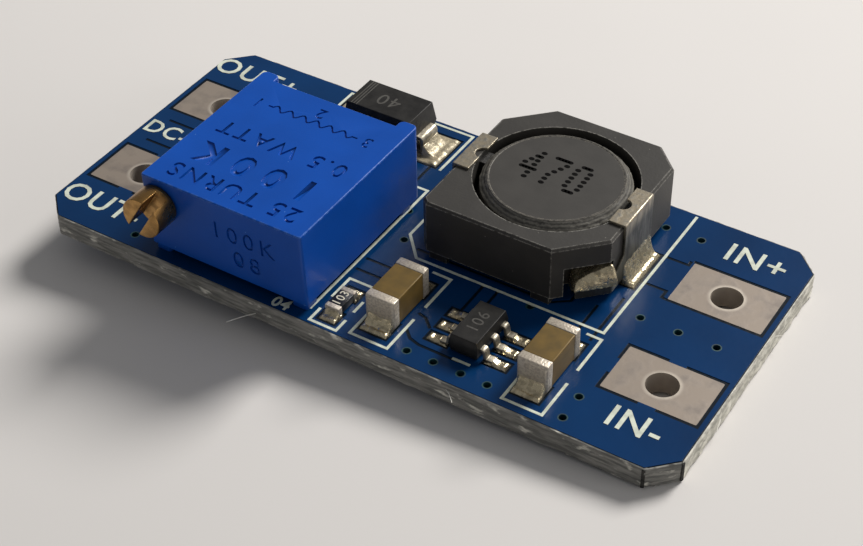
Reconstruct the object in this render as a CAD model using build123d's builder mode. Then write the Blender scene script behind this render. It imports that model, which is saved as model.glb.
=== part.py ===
"""Adjustable boost converter module: a small circuit board with a multi-turn trimmer lying on its side,
a shielded power inductor, a diode, a six-lead regulator, two ceramic capacitors and one resistor.

Frame: origin at the centre of the board's underside, +X towards the input end,
+Y away from the trimmer's screw, +Z towards the component side. Millimetres.
"""
from build123d import *
import math
import os

os.makedirs("parts", exist_ok=True)

# Circuit board
BOARD_WIDTH = 17.0
BOARD_THICK = 1.2
BOARD_CORNER_CUT = 1.25
BOARD_END_MARGIN = 0.455
BOARD_SCORE_BEVEL = 0.12
VIA_DIAMETER = 0.44
VIA_FRONT_MARGIN = 0.85
VIA_BACK_MARGIN = 1.76
VIA_ROW_PITCH = 1.53
FRONT_VIA_XS = [-12.35, 3.93, 5.39, 6.88, 8.3, 12.24]
BACK_VIA_XS = [10.25, 12.2]
INNER_VIA_PLACES = [
    (12.2, 0.06), (14.19, 0.06), (16.18, 0.06), (7.33, -1.96), (-1.57, 1.1), (-0.53, -0.93),
]

# Plated wire lands
LAND_LENGTH = 4.85
LAND_WIDTH = 3.05
LAND_HOLE_DIAMETER = 1.6
LAND_FROM_COIL = 2.495
LAND_FROM_MIDLINE = 1.945
LAND_CORNER_RADIUS = 0.06
PLATING_THICK = 0.05
LAND_DEPTH = 0.05
LAND_RISE = 0.02

# Solder under and beside the surface-mounted pieces; its slope is hollow by these shares
SOLDER_THICK = 0.06
SOLDER_STEEP_SHARE = 0.1
SOLDER_HOLLOW_SHARE = 0.35

# Trimmer housing
TRIM_WIDTH = 9.44
TRIM_LENGTH = 9.65
TRIM_TOP = 4.8
TRIM_FOOT = 0.43
TRIM_X = -6.23
TRIM_FRONT_Y = -8.1
TRIM_FRONT_DRAFT = 0.18
TRIM_CORNER_RADIUS = 0.16
TRIM_TOP_RADIUS = 0.07
TRIM_WALL = 0.42
TRIM_SIDE_WALL = 0.38
TRIM_FRONT_WALL = 0.85
TRIM_RIB_WIDTH = 1.0
TRIM_RIB_DEPTH = 0.55
TRIM_FOOT_SIZE = 0.9
TRIM_FOOT_INSET = 0.12
TRIM_BASE_THICK = 0.7
TRIM_BASE_RECESS = 0.1
TRIM_BASE_CLEARANCE = 0.02

# Adjusting screw
SCREW_FROM_SIDE = 0.98
SCREW_HEIGHT = 3.36
SCREW_HEAD_DIAMETER = 2.2
SCREW_HEAD_LENGTH = 1.4
SCREW_HEAD_GAP = 0.02
SCREW_JOURNAL_DIAMETER = 1.32
SCREW_NECK_DIAMETER = 1.0
SCREW_NECK_LENGTH = 0.3
SCREW_THREAD_DIAMETER = 1.24
SCREW_SLOT_WIDTH = 0.65
SCREW_SLOT_DEPTH = 1.05
SCREW_SLOT_ANGLE = 58.0
SCREW_END_CLEARANCE = 0.25
SCREW_BORE_CLEARANCE = 0.04
SCREW_CHANNEL_CLEARANCE = 0.14
SEAL_CLEARANCE = 0.01
CARRIAGE_BORE_CLEARANCE = 0.03
CARRIAGE_NUT_WALL = 0.3

# Wiper carriage and what it slides on
SUBSTRATE_THICK = 0.6
SUBSTRATE_MARGIN = 0.15
TRACK_THICK = 0.06
TRACK_WIDTH = 1.3
TRACK_OVERRUN = 0.35
RESISTIVE_TRACK_FROM_WALL = 3.02
COLLECTOR_TRACK_STEP = 2.55
CARRIAGE_LENGTH = 1.3
CARRIAGE_TRAVEL = 6.0
CARRIAGE_NUT_WIDTH = 1.9
CARRIAGE_ARM_WIDTH = 5.0
CARRIAGE_ARM_THICK = 0.8
CARRIAGE_CLEARANCE = 0.07
WIPER_THICK = 0.1
WIPER_FINGER_WIDTH = 0.7
WIPER_FINGER_REACH = 0.45
WIPER_TOE_LENGTH = 0.135
WIPER_OFFSET = 0.25
WIPER_GAP = 0.01

# Trimmer pins
PIN_DIAMETER = 0.51
PIN_PITCH = 2.54
PIN_ROW_Y = 2.35
PIN_BEND_RADIUS = 0.55
PIN_TAIL = 1.0
PIN_HOLE_DIAMETER = 0.9
PIN_LAND_DIAMETER = 1.7
PIN_SEAT = 0.65
PIN_CLEARANCE = 0.015
PIN_SOLDER_HEIGHT = 0.7
PIN_SOLDER_TIP_DIAMETER = 0.62
PIN_SOLDER_WAIST_DIAMETER = 0.92
PIN_SOLDER_WAIST_HEIGHT = 0.29

# Inductor shield
COIL_FROM_TRIMMER = 2.31
COIL_LENGTH = 9.4
COIL_WIDTH = 10.0
COIL_Y0 = -1.5
COIL_TOP = 3.5
COIL_BOTTOM = 0.5
COIL_BORE_DIAMETER = 8.3
COIL_BORE_SHIFT = 0.1
COIL_CHAMFER = 2.1
COIL_BACK_CHAMFER = 1.35
COIL_FRONT_CHAMFER = 0.35
COIL_EDGE = 0.12
COIL_FOOT_SIZE = 1.0
COIL_FOOT_INSET = 0.1
RECESS_TOP = 2.2
RECESS_DEPTH = 0.85
RECESS_START = -0.2
RECESS_END = 2.3
WIRE_SLOT_WIDTH = 0.6
WIRE_SLOT_TOP = 1.35

# Inductor core and winding
CORE_DIAMETER = 7.6
CORE_POST_DIAMETER = 3.4
CORE_BOTTOM = 0.1
CORE_TOP_FLANGE = 0.9
CORE_BOTTOM_FLANGE = 0.65
CORE_RIM_BEVEL = 0.36
CORE_RISE = 0.04
WINDING_CLEARANCE = 0.05
WINDING_DIAMETER = 6.7
WIRE_DIAMETER = 0.34
WIRE_HEIGHT = 1.0
WIRE_REACH = 0.85
ADHESIVE_SPAN = 0.9
ADHESIVE_DEPTH = 0.6
ADHESIVE_DROP = 0.35

# Inductor terminals
TERMINAL_WIDTH = 2.9
TERMINAL_SHIFT = 0.3
TERMINAL_THICK = 0.15
TERMINAL_HOOK = 0.8
TERMINAL_NOTCH_DIAMETER = 0.84
TERMINAL_SHOULDER = 1.9
TERMINAL_RADIUS = 0.1
WING_LENGTH = 1.75
WING_BOTTOM = 0.35
WING_TOP = 1.0
WING_SHELF_DEPTH = 0.75
WING_SHELF_HEIGHT = 0.5
WING_SOLDER_TOP = 1.5
TERMINAL_SOLDER_HEIGHT = 1.2
TERMINAL_SOLDER_REACH = 0.62

# Diode
DIODE_X = -6.0
DIODE_Y = 6.2
DIODE_LENGTH = 4.3
DIODE_WIDTH = 2.6
DIODE_TOP = 2.15
DIODE_STANDOFF = 0.03
DIODE_PARTING = 1.0
DIODE_DRAFT = 0.16
DIODE_LEAD_WIDTH = 1.45
DIODE_LEAD_THICK = 0.2
DIODE_LEAD_REACH = 0.4
DIODE_LEAD_FOOT = 1.1
DIODE_LEAD_INSIDE = 1.35
DIODE_LEAD_RADIUS = 0.15
DIODE_CHIP_SIZE = 1.1
DIODE_CHIP_THICK = 0.3
DIODE_SOLDER_REACH = 1.1
DIODE_SOLDER_HEIGHT = 0.75
DIODE_SOLDER_WIDTH = 2.6

# Regulator
REG_FROM_CAP = 2.25
REG_Y = -5.25
REG_LENGTH = 2.9
REG_WIDTH = 1.6
REG_TOP = 1.15
REG_STANDOFF = 0.12
REG_PARTING = 0.62
REG_DRAFT = 0.1
REG_LEAD_PITCH = 0.95
REG_LEAD_WIDTH = 0.4
REG_LEAD_THICK = 0.14
REG_LEAD_SPAN = 2.9
REG_LEAD_FOOT = 0.42
REG_LEAD_INSIDE = 0.3
REG_LEAD_RADIUS = 0.12
REG_CHIP_LENGTH = 1.3
REG_CHIP_WIDTH = 0.6
REG_CHIP_THICK = 0.2
REG_SOLDER_WIDTH = 0.55
REG_SOLDER_REACH = 0.72
REG_SOLDER_HEIGHT = 0.22

# Ceramic capacitors
CAP_LENGTH = 3.2
CAP_WIDTH = 1.6
CAP_HEIGHT = 1.6
CAP_END = 0.55
CAP_END_PROUD = 0.02
CAP_EDGE_RADIUS = 0.12
CAP_SOLDER_REACH = 0.72
CAP_SOLDER_HEIGHT = 0.85
CAP_SOLDER_WIDTH = 1.7
INPUT_CAP_FROM_REG = 1.48
INPUT_CAP_Y = -5.2
OUTPUT_CAP_FROM_RES = 1.15
OUTPUT_CAP_Y = -5.25

# Chip resistor
RES_FROM_TRIMMER = 0.66
RES_Y = -6.63
RES_LENGTH = 1.6
RES_WIDTH = 0.8
RES_HEIGHT = 0.45
RES_END = 0.3
RES_END_PROUD = 0.01
RES_EDGE_RADIUS = 0.04
RES_SOLDER_REACH = 0.5
RES_SOLDER_HEIGHT = 0.34
RES_SOLDER_WIDTH = 0.9

# Sizes and places worked out from the ones above
TOP = BOARD_THICK
TRIM_LEFT = TRIM_X - TRIM_WIDTH / 2
TRIM_RIGHT = TRIM_X + TRIM_WIDTH / 2
TRIM_BACK_Y = TRIM_FRONT_Y + TRIM_LENGTH
TRIM_Z0 = TOP + TRIM_FOOT
TRIM_Z1 = TOP + TRIM_TOP
CAVITY_LEFT = TRIM_LEFT + TRIM_SIDE_WALL
CAVITY_RIGHT = TRIM_RIGHT - TRIM_SIDE_WALL
CAVITY_Z0 = TRIM_Z0 + TRIM_WALL
CAVITY_Z1 = TRIM_Z1 - TRIM_WALL
CAVITY_FRONT_Y = TRIM_FRONT_Y + TRIM_FRONT_WALL
BASE_BACK_Y = TRIM_BACK_Y - TRIM_BASE_RECESS
BASE_FRONT_Y = BASE_BACK_Y - TRIM_BASE_THICK
SCREW_X = TRIM_LEFT + SCREW_FROM_SIDE
SCREW_Z = TOP + SCREW_HEIGHT
SCREW_BORE_RADIUS = SCREW_JOURNAL_DIAMETER / 2 + SCREW_BORE_CLEARANCE
SCREW_CHANNEL_RADIUS = SCREW_JOURNAL_DIAMETER / 2 + SCREW_CHANNEL_CLEARANCE
SCREW_HEAD_Y = TRIM_FRONT_Y - SCREW_HEAD_GAP
SCREW_NECK_Y = CAVITY_FRONT_Y + SEAL_CLEARANCE
SCREW_THREAD_Y = SCREW_NECK_Y + SCREW_NECK_LENGTH
SCREW_END_Y = BASE_FRONT_Y - SCREW_END_CLEARANCE
SUBSTRATE_TOP = CAVITY_Z0 + SUBSTRATE_THICK
RESISTIVE_TRACK_X = CAVITY_LEFT + RESISTIVE_TRACK_FROM_WALL
COLLECTOR_TRACK_X = RESISTIVE_TRACK_X + COLLECTOR_TRACK_STEP
TRACK_TOP = SUBSTRATE_TOP + TRACK_THICK
CARRIAGE_Y = (SCREW_THREAD_Y + BASE_FRONT_Y) / 2
CARRIAGE_TOP = CAVITY_Z1 - CARRIAGE_CLEARANCE
CARRIAGE_LEFT = CAVITY_LEFT + CARRIAGE_CLEARANCE
CARRIAGE_BOTTOM = SCREW_Z - SCREW_THREAD_DIAMETER / 2 - CARRIAGE_BORE_CLEARANCE - CARRIAGE_NUT_WALL
TRACK_LENGTH = CARRIAGE_TRAVEL + 2 * TRACK_OVERRUN
PIN_Z = SUBSTRATE_TOP + PIN_DIAMETER / 2
PIN_XS = [TRIM_X - PIN_PITCH, TRIM_X, TRIM_X + PIN_PITCH]
SEAL_SECTION = (SCREW_CHANNEL_RADIUS - SCREW_NECK_DIAMETER / 2) / 2 - SEAL_CLEARANCE
SEAL_RADIUS = (SCREW_CHANNEL_RADIUS + SCREW_NECK_DIAMETER / 2) / 2
COIL_X0 = TRIM_RIGHT + COIL_FROM_TRIMMER
COIL_X1 = COIL_X0 + COIL_LENGTH
COIL_Y1 = COIL_Y0 + COIL_WIDTH
COIL_BORE_X = (COIL_X0 + COIL_X1) / 2 + COIL_BORE_SHIFT
COIL_BORE_Y = (COIL_Y0 + COIL_Y1) / 2
TERMINAL_Y = COIL_BORE_Y - TERMINAL_SHIFT
RES_X = TRIM_RIGHT + RES_FROM_TRIMMER + RES_WIDTH / 2
OUTPUT_CAP_X = RES_X + RES_WIDTH / 2 + OUTPUT_CAP_FROM_RES + CAP_WIDTH / 2
REG_X = OUTPUT_CAP_X + CAP_WIDTH / 2 + REG_FROM_CAP + REG_LEAD_SPAN / 2
INPUT_CAP_X = REG_X + REG_LEAD_SPAN / 2 + INPUT_CAP_FROM_REG + CAP_WIDTH / 2
LAND_HOLE_X = COIL_X1 + LAND_FROM_COIL + LAND_LENGTH / 2
LAND_HOLE_Y = LAND_FROM_MIDLINE + LAND_WIDTH / 2
BOARD_LENGTH = 2 * LAND_HOLE_X + LAND_LENGTH + 2 * BOARD_END_MARGIN
LAND_PLACES = {
    "vin_plus_land": (LAND_HOLE_X, LAND_HOLE_Y),
    "vin_minus_land": (LAND_HOLE_X, -LAND_HOLE_Y),
    "vout_plus_land": (-LAND_HOLE_X, LAND_HOLE_Y),
    "vout_minus_land": (-LAND_HOLE_X, -LAND_HOLE_Y),
}
FRONT_VIA_Y = VIA_FRONT_MARGIN - BOARD_WIDTH / 2
BACK_VIA_Y = BOARD_WIDTH / 2 - VIA_BACK_MARGIN
VIA_PLACES = (
    INNER_VIA_PLACES
    + [(x, FRONT_VIA_Y) for x in FRONT_VIA_XS]
    + [(FRONT_VIA_XS[-1], FRONT_VIA_Y + VIA_ROW_PITCH)]
    + [(x, BACK_VIA_Y) for x in BACK_VIA_XS]
)
DIAGONAL = math.sqrt(0.5)


def finish(piece, name):
    """Label one piece and write its STEP file."""
    piece.part.label = name
    export_step(piece.part, "parts/" + name + ".step")


def across(y):
    """The upright plane across the board at y, with its sketch axes along +X and +Z."""
    return Plane.XZ.offset(-y)


# The board, with its plated holes, vias and the shallow seats of its copper lands
with BuildPart() as wiring_board:
    with BuildSketch():
        Rectangle(BOARD_LENGTH, BOARD_WIDTH)
        chamfer(vertices(), length=BOARD_CORNER_CUT)
        with Locations(*LAND_PLACES.values()):
            Circle(LAND_HOLE_DIAMETER / 2 + PLATING_THICK, mode=Mode.SUBTRACT)
        with Locations(*[(x, PIN_ROW_Y) for x in PIN_XS]):
            Circle(PIN_HOLE_DIAMETER / 2, mode=Mode.SUBTRACT)
        with Locations(*VIA_PLACES):
            Circle(VIA_DIAMETER / 2, mode=Mode.SUBTRACT)
    extrude(amount=BOARD_THICK)
    for long_side in (faces().sort_by(Axis.Y)[0], faces().sort_by(Axis.Y)[-1]):
        chamfer(long_side.edges().filter_by(Axis.X), length=BOARD_SCORE_BEVEL)
    for seat_z in (0, BOARD_THICK - LAND_DEPTH):
        with BuildSketch(Plane.XY.offset(seat_z)):
            with Locations(*LAND_PLACES.values()):
                RectangleRounded(LAND_LENGTH, LAND_WIDTH, LAND_CORNER_RADIUS)
        extrude(amount=LAND_DEPTH, mode=Mode.SUBTRACT)
    with BuildSketch():
        with Locations(*[(x, PIN_ROW_Y) for x in PIN_XS]):
            Circle(PIN_LAND_DIAMETER / 2)
    extrude(amount=LAND_DEPTH, mode=Mode.SUBTRACT)
finish(wiring_board, "wiring_board")


def wire_land(name, place):
    """A plated wire hole: a land on each face joined by its barrel."""
    with BuildPart() as land:
        with BuildSketch(Plane.XY.offset(-LAND_RISE)):
            with Locations(place):
                Circle(LAND_HOLE_DIAMETER / 2 + PLATING_THICK)
        extrude(amount=BOARD_THICK + 2 * LAND_RISE)
        for face_z in (-LAND_RISE, BOARD_THICK - LAND_DEPTH):
            with BuildSketch(Plane.XY.offset(face_z)):
                with Locations(place):
                    RectangleRounded(LAND_LENGTH, LAND_WIDTH, LAND_CORNER_RADIUS)
            extrude(amount=LAND_DEPTH + LAND_RISE)
        with BuildSketch(Plane.XY.offset(-LAND_RISE)):
            with Locations(place):
                Circle(LAND_HOLE_DIAMETER / 2)
        extrude(amount=BOARD_THICK + 2 * LAND_RISE, mode=Mode.SUBTRACT)
    finish(land, name)


for land_name, land_place in LAND_PLACES.items():
    wire_land(land_name, land_place)

# The trimmer's moulded shell: one open box with back ribs, feet and the screw's bore
with BuildPart() as trimmer_housing:
    with BuildSketch(Plane.YZ.offset(TRIM_LEFT)):
        Polygon(
            (TRIM_FRONT_Y + TRIM_FRONT_DRAFT, TRIM_Z0),
            (TRIM_BACK_Y, TRIM_Z0),
            (TRIM_BACK_Y, TRIM_Z1),
            (TRIM_FRONT_Y, TRIM_Z1),
            align=None,
        )
    extrude(amount=TRIM_WIDTH)
    with BuildSketch(Plane.XY.offset(TRIM_Z0)):
        for rib_x in (TRIM_LEFT + TRIM_RIB_WIDTH / 2, TRIM_RIGHT - TRIM_RIB_WIDTH / 2):
            with Locations((rib_x, TRIM_BACK_Y)):
                Rectangle(TRIM_RIB_WIDTH, 2 * TRIM_RIB_DEPTH)
    extrude(amount=TRIM_Z1 - TRIM_Z0)
    upright = edges().filter_by(Axis.Z)
    fillet(upright.group_by(Axis.Y)[-1], radius=TRIM_CORNER_RADIUS * 2)
    front_edges = faces().sort_by(Axis.Y)[0].edges()
    fillet(front_edges.filter_by(lambda e: abs(e.tangent_at(0).Z) > 0.9), radius=TRIM_CORNER_RADIUS)
    fillet(faces().sort_by(Axis.Z)[-1].edges(), radius=TRIM_TOP_RADIUS)
    with BuildSketch(Plane.XY.offset(TOP)):
        foot_x = TRIM_WIDTH / 2 - TRIM_FOOT_INSET - TRIM_FOOT_SIZE / 2
        foot_front = TRIM_FRONT_Y + TRIM_FRONT_DRAFT + TRIM_FOOT_INSET + TRIM_FOOT_SIZE / 2
        foot_back = TRIM_BACK_Y - TRIM_FOOT_INSET - TRIM_FOOT_SIZE / 2
        for foot_y in (foot_front, foot_back):
            with Locations((TRIM_X - foot_x, foot_y), (TRIM_X + foot_x, foot_y)):
                RectangleRounded(TRIM_FOOT_SIZE, TRIM_FOOT_SIZE, TRIM_CORNER_RADIUS)
    extrude(amount=TRIM_FOOT + TRIM_WALL / 2)
    with BuildSketch(Plane.XZ.offset(-CAVITY_FRONT_Y)):
        with Locations(((CAVITY_LEFT + CAVITY_RIGHT) / 2, (CAVITY_Z0 + CAVITY_Z1) / 2)):
            Rectangle(CAVITY_RIGHT - CAVITY_LEFT, CAVITY_Z1 - CAVITY_Z0)
    extrude(amount=-(TRIM_BACK_Y - CAVITY_FRONT_Y), mode=Mode.SUBTRACT)
    with BuildSketch(Plane.XZ.offset(-CAVITY_FRONT_Y)):
        with Locations((SCREW_X, SCREW_Z)):
            Circle(SCREW_CHANNEL_RADIUS)
    extrude(amount=-(BASE_FRONT_Y - CAVITY_FRONT_Y), mode=Mode.SUBTRACT)
    with BuildSketch(Plane.XZ.offset(-CAVITY_FRONT_Y)):
        with Locations((SCREW_X, SCREW_Z)):
            Circle(SCREW_BORE_RADIUS)
    extrude(amount=2 * TRIM_FRONT_WALL, mode=Mode.SUBTRACT)
finish(trimmer_housing, "trimmer_housing")


def pin_path(x):
    """The pin's line: out of the base, then bent down through the board."""
    return FilletPolyline(
        (x, BASE_FRONT_Y - PIN_SEAT, PIN_Z),
        (x, PIN_ROW_Y, PIN_Z),
        (x, PIN_ROW_Y, -PIN_TAIL),
        radius=PIN_BEND_RADIUS,
    )


# The potted base that closes the shell and holds the pins
with BuildPart() as trimmer_base:
    with BuildSketch(across(BASE_FRONT_Y)):
        with Locations(((CAVITY_LEFT + CAVITY_RIGHT) / 2, (CAVITY_Z0 + CAVITY_Z1) / 2)):
            Rectangle(
                CAVITY_RIGHT - CAVITY_LEFT - 2 * TRIM_BASE_CLEARANCE,
                CAVITY_Z1 - CAVITY_Z0 - 2 * TRIM_BASE_CLEARANCE,
            )
        with Locations(*[(x, PIN_Z) for x in PIN_XS]):
            Circle(PIN_DIAMETER / 2 + PIN_CLEARANCE, mode=Mode.SUBTRACT)
    extrude(amount=-TRIM_BASE_THICK)
finish(trimmer_base, "trimmer_base")

# The brass adjusting screw, turned about its own axis and slotted across its end
with BuildPart() as adjusting_screw:
    with BuildSketch(Plane((SCREW_X, 0, SCREW_Z), x_dir=(1, 0, 0), z_dir=(0, 0, 1))):
        with BuildLine():
            Polyline(
                (0, SCREW_HEAD_Y - SCREW_HEAD_LENGTH),
                (SCREW_HEAD_DIAMETER / 2, SCREW_HEAD_Y - SCREW_HEAD_LENGTH),
                (SCREW_HEAD_DIAMETER / 2, SCREW_HEAD_Y),
                (SCREW_JOURNAL_DIAMETER / 2, SCREW_HEAD_Y),
                (SCREW_JOURNAL_DIAMETER / 2, SCREW_NECK_Y),
                (SCREW_NECK_DIAMETER / 2, SCREW_NECK_Y),
                (SCREW_NECK_DIAMETER / 2, SCREW_THREAD_Y),
                (SCREW_THREAD_DIAMETER / 2, SCREW_THREAD_Y),
                (SCREW_THREAD_DIAMETER / 2, SCREW_END_Y),
                (0, SCREW_END_Y),
                close=True,
            )
        make_face()
    revolve(axis=Axis((SCREW_X, 0, SCREW_Z), (0, 1, 0)))
    with BuildSketch(across(SCREW_HEAD_Y - SCREW_HEAD_LENGTH)):
        with Locations((SCREW_X, SCREW_Z)):
            Rectangle(2 * SCREW_HEAD_DIAMETER, SCREW_SLOT_WIDTH, rotation=SCREW_SLOT_ANGLE)
    extrude(amount=-SCREW_SLOT_DEPTH, mode=Mode.SUBTRACT)
finish(adjusting_screw, "adjusting_screw")

# The rubber ring round the screw's neck
with BuildPart() as screw_seal:
    with BuildSketch(Plane((SCREW_X, 0, SCREW_Z), x_dir=(1, 0, 0), z_dir=(0, 0, 1))):
        with Locations((SEAL_RADIUS, (SCREW_NECK_Y + SCREW_THREAD_Y) / 2)):
            Circle(SEAL_SECTION)
    revolve(axis=Axis((SCREW_X, 0, SCREW_Z), (0, 1, 0)))
finish(screw_seal, "screw_seal")

# The plastic carriage that the thread drives, shown at mid travel
with BuildPart() as wiper_carriage:
    with BuildSketch(across(CARRIAGE_Y - CARRIAGE_LENGTH / 2)):
        with Locations((CARRIAGE_LEFT, CARRIAGE_BOTTOM)):
            Rectangle(
                CARRIAGE_NUT_WIDTH,
                CARRIAGE_TOP - CARRIAGE_BOTTOM,
                align=(Align.MIN, Align.MIN),
            )
            Rectangle(
                CARRIAGE_NUT_WIDTH + CARRIAGE_ARM_WIDTH,
                CARRIAGE_ARM_THICK,
                align=(Align.MIN, Align.MIN),
            )
        with Locations((SCREW_X, SCREW_Z)):
            Circle(
                SCREW_THREAD_DIAMETER / 2 + CARRIAGE_BORE_CLEARANCE,
                mode=Mode.SUBTRACT,
            )
    extrude(amount=-CARRIAGE_LENGTH)
finish(wiper_carriage, "wiper_carriage")

# The bronze wiper under the carriage: a plate with two fingers that touch the tracks
with BuildPart() as wiper_spring:
    finger_z = TRACK_TOP + WIPER_GAP + WIPER_THICK / 2
    plate_z = CARRIAGE_BOTTOM - WIPER_THICK / 2
    plate_y0 = CARRIAGE_Y + WIPER_OFFSET - WIPER_FINGER_WIDTH / 2
    for finger_x in (RESISTIVE_TRACK_X, COLLECTOR_TRACK_X):
        with BuildSketch(Plane.YZ.offset(finger_x)):
            with BuildLine():
                Polyline(
                    (plate_y0 + WIPER_FINGER_WIDTH, plate_z),
                    (plate_y0, plate_z),
                    (plate_y0 - WIPER_FINGER_REACH, finger_z),
                    (plate_y0 - WIPER_FINGER_REACH - WIPER_TOE_LENGTH, finger_z),
                )
            trace(line_width=WIPER_THICK)
        extrude(amount=WIPER_FINGER_WIDTH / 2, both=True)
    with BuildSketch(Plane.XY.offset(plate_z - WIPER_THICK / 2)):
        with Locations(
            ((RESISTIVE_TRACK_X + COLLECTOR_TRACK_X) / 2, CARRIAGE_Y + WIPER_OFFSET)
        ):
            Rectangle(
                COLLECTOR_TRACK_X - RESISTIVE_TRACK_X + WIPER_FINGER_WIDTH,
                WIPER_FINGER_WIDTH,
            )
    extrude(amount=WIPER_THICK)
finish(wiper_spring, "wiper_spring")

# The ceramic plate on the shell's floor
with BuildPart() as trimmer_substrate:
    with BuildSketch(Plane.XY.offset(CAVITY_Z0)):
        with Locations((CAVITY_LEFT + SUBSTRATE_MARGIN, CAVITY_FRONT_Y + SUBSTRATE_MARGIN)):
            Rectangle(
                CAVITY_RIGHT - CAVITY_LEFT - 2 * SUBSTRATE_MARGIN,
                BASE_FRONT_Y - CAVITY_FRONT_Y - 2 * SUBSTRATE_MARGIN,
                align=(Align.MIN, Align.MIN),
            )
    extrude(amount=SUBSTRATE_THICK)
finish(trimmer_substrate, "trimmer_substrate")


def track(name, x):
    """A printed track along the carriage's travel."""
    with BuildPart() as strip:
        with BuildSketch(Plane.XY.offset(SUBSTRATE_TOP)):
            with Locations((x, CAVITY_FRONT_Y + 2 * SUBSTRATE_MARGIN)):
                Rectangle(TRACK_WIDTH, TRACK_LENGTH, align=(Align.CENTER, Align.MIN))
        extrude(amount=TRACK_THICK)
    finish(strip, name)


track("resistive_track", RESISTIVE_TRACK_X)
track("collector_track", COLLECTOR_TRACK_X)


def trimmer_pin(name, x):
    """A round wire pin, bent once."""
    with BuildPart() as pin:
        with BuildLine() as line:
            add(pin_path(x))
        with BuildSketch(Plane(origin=line.line @ 0, z_dir=line.line % 0)):
            Circle(PIN_DIAMETER / 2)
        sweep()
    finish(pin, name)


for pin_number, pin_x in enumerate(PIN_XS, start=1):
    trimmer_pin(f"trimmer_pin_{pin_number}", pin_x)

# The three solder joints of the trimmer's pins, on the board's underside
with BuildPart() as trimmer_solder:
    for joint_x in PIN_XS:
        with BuildSketch(Plane((joint_x, PIN_ROW_Y, 0), x_dir=(1, 0, 0), z_dir=(0, -1, 0))):
            with BuildLine():
                Polyline(
                    (PIN_DIAMETER / 2, TOP),
                    (PIN_HOLE_DIAMETER / 2, TOP),
                    (PIN_HOLE_DIAMETER / 2, LAND_DEPTH),
                    (PIN_LAND_DIAMETER / 2, LAND_DEPTH),
                    (PIN_LAND_DIAMETER / 2, -LAND_RISE),
                )
                ThreePointArc(
                    (PIN_LAND_DIAMETER / 2, -LAND_RISE),
                    (PIN_SOLDER_WAIST_DIAMETER / 2, -PIN_SOLDER_WAIST_HEIGHT),
                    (PIN_SOLDER_TIP_DIAMETER / 2, -PIN_SOLDER_HEIGHT),
                )
                Polyline(
                    (PIN_SOLDER_TIP_DIAMETER / 2, -PIN_SOLDER_HEIGHT),
                    (PIN_DIAMETER / 2, -PIN_SOLDER_HEIGHT),
                    (PIN_DIAMETER / 2, TOP),
                )
            make_face()
        revolve(axis=Axis((joint_x, PIN_ROW_Y, 0), (0, 0, 1)))
finish(trimmer_solder, "trimmer_solder")

# Each terminal has its own frame: origin at the middle of the shield's side, x outwards
RIGHT_SIDE = Plane((COIL_X1, TERMINAL_Y, TOP), x_dir=(1, 0, 0), z_dir=(0, 0, 1))
LEFT_SIDE = Plane((COIL_X0, TERMINAL_Y, TOP), x_dir=(-1, 0, 0), z_dir=(0, 0, 1))
RIGHT_CHAMFER_START = TERMINAL_Y - COIL_Y0 - COIL_CHAMFER
LEFT_CHAMFER_START = COIL_Y1 - TERMINAL_Y - COIL_CHAMFER


def chamfer_plane(side, start, height):
    """The frame of a corner cut: x along the cut away from the terminal, y outwards."""
    origin = side.from_local_coords(Vector(0, -start, height))
    along = side.from_local_coords(Vector(-1, -1, 0)) - side.from_local_coords(Vector(0, 0, 0))
    return Plane(origin, x_dir=along, z_dir=(0, 0, 1))


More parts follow.
